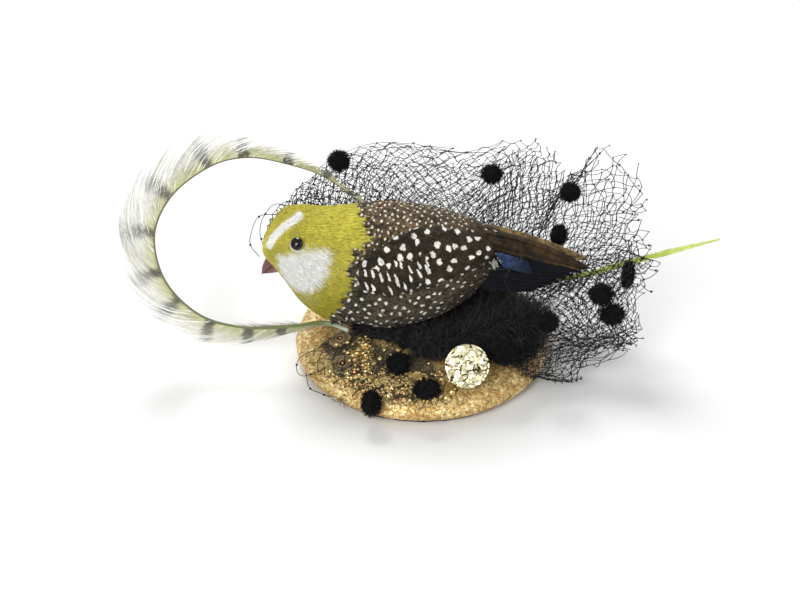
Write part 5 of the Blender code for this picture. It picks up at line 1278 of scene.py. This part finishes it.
def lace():
    draw = np.random.default_rng(81)
    pile = Pile()
    sequins = Pile()
    cells = []
    pitch = 3.3
    for i in range(-16, 6):
        for j in range(-15, 4):
            x = pitch * (i + 0.5 * (j % 2)) + draw.normal(0, 0.3)
            y = pitch * 0.88 * j + draw.normal(0, 0.3)
            r, heading = math.hypot(x, y), math.degrees(math.atan2(y, x))
            outer = 45.6 + 1.2 * math.sin(heading * 0.35)
            rosette = any(math.hypot(x - fx, y - fy) < fr + 0.9 for (fx, fy), fr in FLOWERS)
            outer = min(outer, 41.5 + max(heading + 150, 0) * 0.2)
            if -160 < heading < -84 and 25.5 < r < outer and not rosette:
                cells.append((x, y))
    cells = np.array(cells)
    for x, y in cells:
        tint = np.array(LACE_OLIVE) * draw.uniform(0.5, 1.4)
        dome_ring(pile, x, y, draw.uniform(1.15, 1.75), 0.75 + draw.uniform(0, 0.4), draw.uniform(0.22, 0.36), tint)
        if draw.random() < 0.5:
            dome_ring(pile, x, y, draw.uniform(0.4, 0.7), 0.9, 0.28, tint * 1.3)
    for a in range(len(cells)):
        gap = np.hypot(*(cells - cells[a]).T)
        for b in np.argsort(gap)[1:5]:
            if gap[b] < pitch * 1.6:
                t = np.linspace(0, 1, 5)
                bend = draw.normal(0, 0.35)
                x = cells[a][0] * (1 - t) + cells[b][0] * t + bend * np.sin(t * math.pi)
                y = cells[a][1] * (1 - t) + cells[b][1] * t - bend * np.sin(t * math.pi)
                bundle(pile, on_dome(x, y, 0.6), 0.22, 4, np.array(LACE_OLIVE) * draw.uniform(0.5, 1.3), (0, 0, 1))
    backing(pile, draw)
    piece("lace_cords", pile, LACE_THREAD, stands_for=["lace_applique"])
    for number, ((x, y), radius) in enumerate(FLOWERS, 1):
        flower = Pile()
        ground = np.linspace(0.3, radius * 0.95, 9)
        for r in ground:
            dome_ring(flower, x, y, r, 1.5, 0.26, np.array(LACE_OLIVE) * 0.5)
        dome_ring(flower, x, y, radius * 0.92, 2.0, 0.5, np.array(LACE_OLIVE) * 2.3, 9, 0.10, 6)
        dome_ring(flower, x, y, radius * 0.66, 2.4, 0.42, np.array(LACE_OLIVE) * 1.5, 0, 0, 6)
        dome_ring(flower, x, y, radius * 0.42, 2.5, 0.34, LACE_COPPER, 0, 0, 6)
        for k in range(9):
            a = TAU * k / 9
            t = np.linspace(radius * 0.25, radius * 0.9, 4)
            bundle(flower, on_dome(x + t * math.cos(a), y + t * math.sin(a), 1.9), 0.34, 5, np.array(LACE_OLIVE) * draw.uniform(0.7, 1.7), (0, 0, 1))
        ball(flower, on_dome(x, y, 2.4), (0.8, 0.8, 0.7), (1, 1, 1), 8, 12, kind=1)
        piece(f"lace_rosette_{number}", flower, [LACE_THREAD, COPPER], stands_for=[f"lace_flower_{number}"])
    for _ in range(300):
        heading = math.radians(draw.uniform(-141, -72))
        r = 48.0 - abs(draw.normal(0, 7.0))
        x, y = r * math.cos(heading), r * math.sin(heading)
        if any(math.hypot(x - fx, y - fy) < fr for (fx, fy), fr in FLOWERS) or r < 26:
            continue
        if math.degrees(heading) > -84 and draw.random() < 0.6:
            continue
        at = on_dome(x, y, 1.0 + draw.uniform(0, 0.7))
        if draw.random() < 0.6:
            ball(sequins, at, np.full(3, draw.uniform(0.5, 0.85)), (1, 1, 1), 6, 9, kind=0)
        else:
            tilt = unit(np.array([x / 60, y / 60 - 0.3, 1.0]) + draw.normal(0, 0.3, 3))
            size = draw.uniform(0.7, 1.1)
            step = np.linspace(-0.1, 0.1, 3)[:, None]
            bundle(sequins, at + tilt * step, np.array([0.8, 1.0, 0.85]) * size, 9, (1, 1, 1), (0.9, 0.3, 0.1), kind=int(draw.random() < 0.12))
    for _ in range(26):
        x, y = -24.5 + draw.normal(0, 3.4), -24.0 + draw.normal(0, 4.2)
        ball(sequins, on_dome(x, y, 2.1), np.full(3, draw.uniform(0.7, 1.25)), (1, 1, 1), 7, 10, kind=0)
    for (x0, y0), (dx, dy), count in (((-22.5, -22.5), (3.6, 4.6), 30), ((-2, -38.5), (7.5, 3.4), 34), ((-16, -37), (5, 3.5), 22)):
        for _ in range(count):
            x, y = x0 + draw.normal(0, dx * 0.6), y0 + draw.normal(0, dy * 0.6)
            if math.hypot(x, y) < 47:
                dome_ring(sequins, x, y, draw.uniform(0.8, 1.4), 1.5, 0.36, (1, 1, 1), kind=0)
    piece("lace_sequins", sequins, [BEAD_GOLD, COPPER], smooth=True)


def backing(pile, draw):
    """The fine ground that the lace cords are worked on: close threads in two directions."""
    for way in (0, 1):
        for k in np.arange(-47, 6, 1.15):
            t = np.linspace(-48, 8, 70)
            x, y = (t, np.full(70, k)) if way else (np.full(70, k), t)
            x = x + 0.25 * np.sin(t * 1.9 + k)
            y = y + 0.25 * np.cos(t * 1.7 + k * 2)
            r, heading = np.hypot(x, y), np.degrees(np.arctan2(y, x))
            keep = (heading > -162) & (heading < -86) & (r > 25) & (r < np.minimum(46, 41.5 + np.maximum(heading + 150, 0) * 0.2))
            runs = np.flatnonzero(np.diff(np.concatenate([[0], keep.astype(int), [0]])))
            for a, b in zip(runs[::2], runs[1::2]):
                if b - a > 3:
                    bundle(pile, on_dome(x[a:b], y[a:b], 0.45), 0.24, 4, np.array(LACE_OLIVE) * draw.uniform(0.35, 0.8), (0, 0, 1))


# ---------------------------------------------------------------- stage
def cloth_copy(name, node, look, cuts, uneven, ribs=0):
    """A soft part in the shape of its solid, with a finer, uneven or ribbed surface."""
    source = frame["nodes"][node]
    work = bmesh.new()
    work.from_mesh(source.data)
    work.transform(source.matrix_world)
    bmesh.ops.subdivide_edges(work, edges=work.edges[:], cuts=cuts, use_grid_fill=True)
    work.normal_update()
    points = np.array([v.co[:] for v in work.verts]) / MM
    out = np.array([v.normal[:] for v in work.verts])
    rib = np.cos(np.arctan2(points[:, 1], points[:, 0]) * ribs) if ribs else 0.0
    height = uneven * (value_noise(points, 0.9, 7) + 0.7 * rib)
    pile = Pile()
    index = {v: i for i, v in enumerate(work.verts)}
    faces = {}
    for face in work.faces:
        faces.setdefault(len(face.verts), []).append([index[v] for v in face.verts])
    points = points + out * np.clip(height, -0.12, 0.12)[:, None]
    points[:, 2] = np.maximum(points[:, 2], 0)
    pile.add(points, [faces[size] for size in sorted(faces)], (1, 1, 1))
    work.free()
    return piece(name, pile, look, stands_for=[node])


def soft_parts():
    """The cloth, felt and foam inside and under the dome."""
    lining = cloth_copy("base_lining_felt", "base_lining", CAD_LOOKS["felt"], 1, 0.06)
    shell = cloth_copy("base_shell_buckram", "base_shell", CAD_LOOKS["buckram"], 1, 0.05)
    cloth_copy("rim_binding_rib", "rim_binding", CAD_LOOKS["binding"], 3, 0.10, 240)
    cloth_copy("clip_pad_felt", "clip_pad", CAD_LOOKS["felt"], 3, 0.10)
    cloth_copy("bird_core_foam", "bird_foam_core", CAD_LOOKS["foam"], 1, 0.10)


def stage():
    floor_look = Look("floor", rough=0.9, colour=(0.86, 0.86, 0.86))
    haze = floor_look.grain(floor_look.place(), 3, 2)
    floor_look.colour(floor_look.steps(haze, (0.3, (0.76, 0.765, 0.76)), (0.7, (0.78, 0.785, 0.78))))
    size = 4.0
    mesh = bpy.data.meshes.new("floor")
    mesh.from_pydata([(-size, -size, 0), (size, -size, 0), (size, size, 0), (-size, size, 0)], [], [(0, 1, 2, 3)])
    mesh.materials.append(floor_look.mat)
    floor = bpy.data.objects.new("floor", mesh)
    bpy.context.scene.collection.objects.link(floor)
    world = bpy.data.worlds.new("studio")
    bpy.context.scene.world = world
    world.use_nodes = True
    nodes, links = world.node_tree.nodes, world.node_tree.links
    back = nodes["Background"]
    place = nodes.new("ShaderNodeTexCoord")
    split = nodes.new("ShaderNodeSeparateXYZ")
    ramp = nodes.new("ShaderNodeValToRGB")
    links.new(place.outputs["Generated"], split.inputs[0])
    links.new(split.outputs["Z"], ramp.inputs["Fac"])
    for element, (at, level) in zip(ramp.color_ramp.elements, ((0.0, 0.42), (0.85, 1.0))):
        element.position = at
        element.color = (level, level, level, 1)
    links.new(ramp.outputs["Color"], back.inputs["Color"])
    back.inputs["Strength"].default_value = WORLD_LIGHT
    for name, place, aim, size, power in LAMPS:
        lamp = bpy.data.lights.new(name, "AREA")
        lamp.shape = "RECTANGLE"
        lamp.size, lamp.size_y = size[0] * MM, size[1] * MM
        lamp.energy = power
        obj = bpy.data.objects.new(name, lamp)
        obj.location = Vector(place) * MM
        obj.rotation_euler = (Vector(place) - Vector(aim)).to_track_quat("Z", "Y").to_euler()
        bpy.context.scene.collection.objects.link(obj)


WORLD_LIGHT = 0.54
LAMPS = (
    ("key", (-200, 540, 750), (0, 0, 30), (360, 360), 7.0),
    ("front", (-420, -770, 640), (0, 0, 20), (460, 340), 6.2),
    ("fill", (600, -500, 600), (0, 0, 30), (700, 500), 1.5),
)
CAMERA_PLACE = (-8.6, -562.417, 417.199)
CAMERA_DOWN = math.radians(35)
CAMERA_LENS = 78.75


def camera():
    data = bpy.data.cameras.new("camera")
    data.sensor_width = 36.0
    data.lens = CAMERA_LENS
    obj = bpy.data.objects.new("camera", data)
    obj.location = Vector(CAMERA_PLACE) * MM
    obj.rotation_euler = (math.pi / 2 - CAMERA_DOWN, 0, 0)
    bpy.context.scene.collection.objects.link(obj)
    bpy.context.scene.camera = obj


camera()
stage()
bpy.context.scene.view_settings.view_transform = "Standard"

material_of = {m["node"]: m["material_slot"] for m in frame["record"]["subparts"]}
for node, obj in frame["nodes"].items():
    look = CAD_LOOKS.get(material_of[node])
    if look:
        obj.data.materials.clear()
        obj.data.materials.append(look)

base_cover()
soft_parts()
bird_head()
beak()
bird_body()
bird_wing(-1)
bird_wing(1)
bird_tail()
curled_feather()
lime_feather()
veils()
front_veil()
loose_threads()
chenille()
marabou()
gold_disc()
lace()
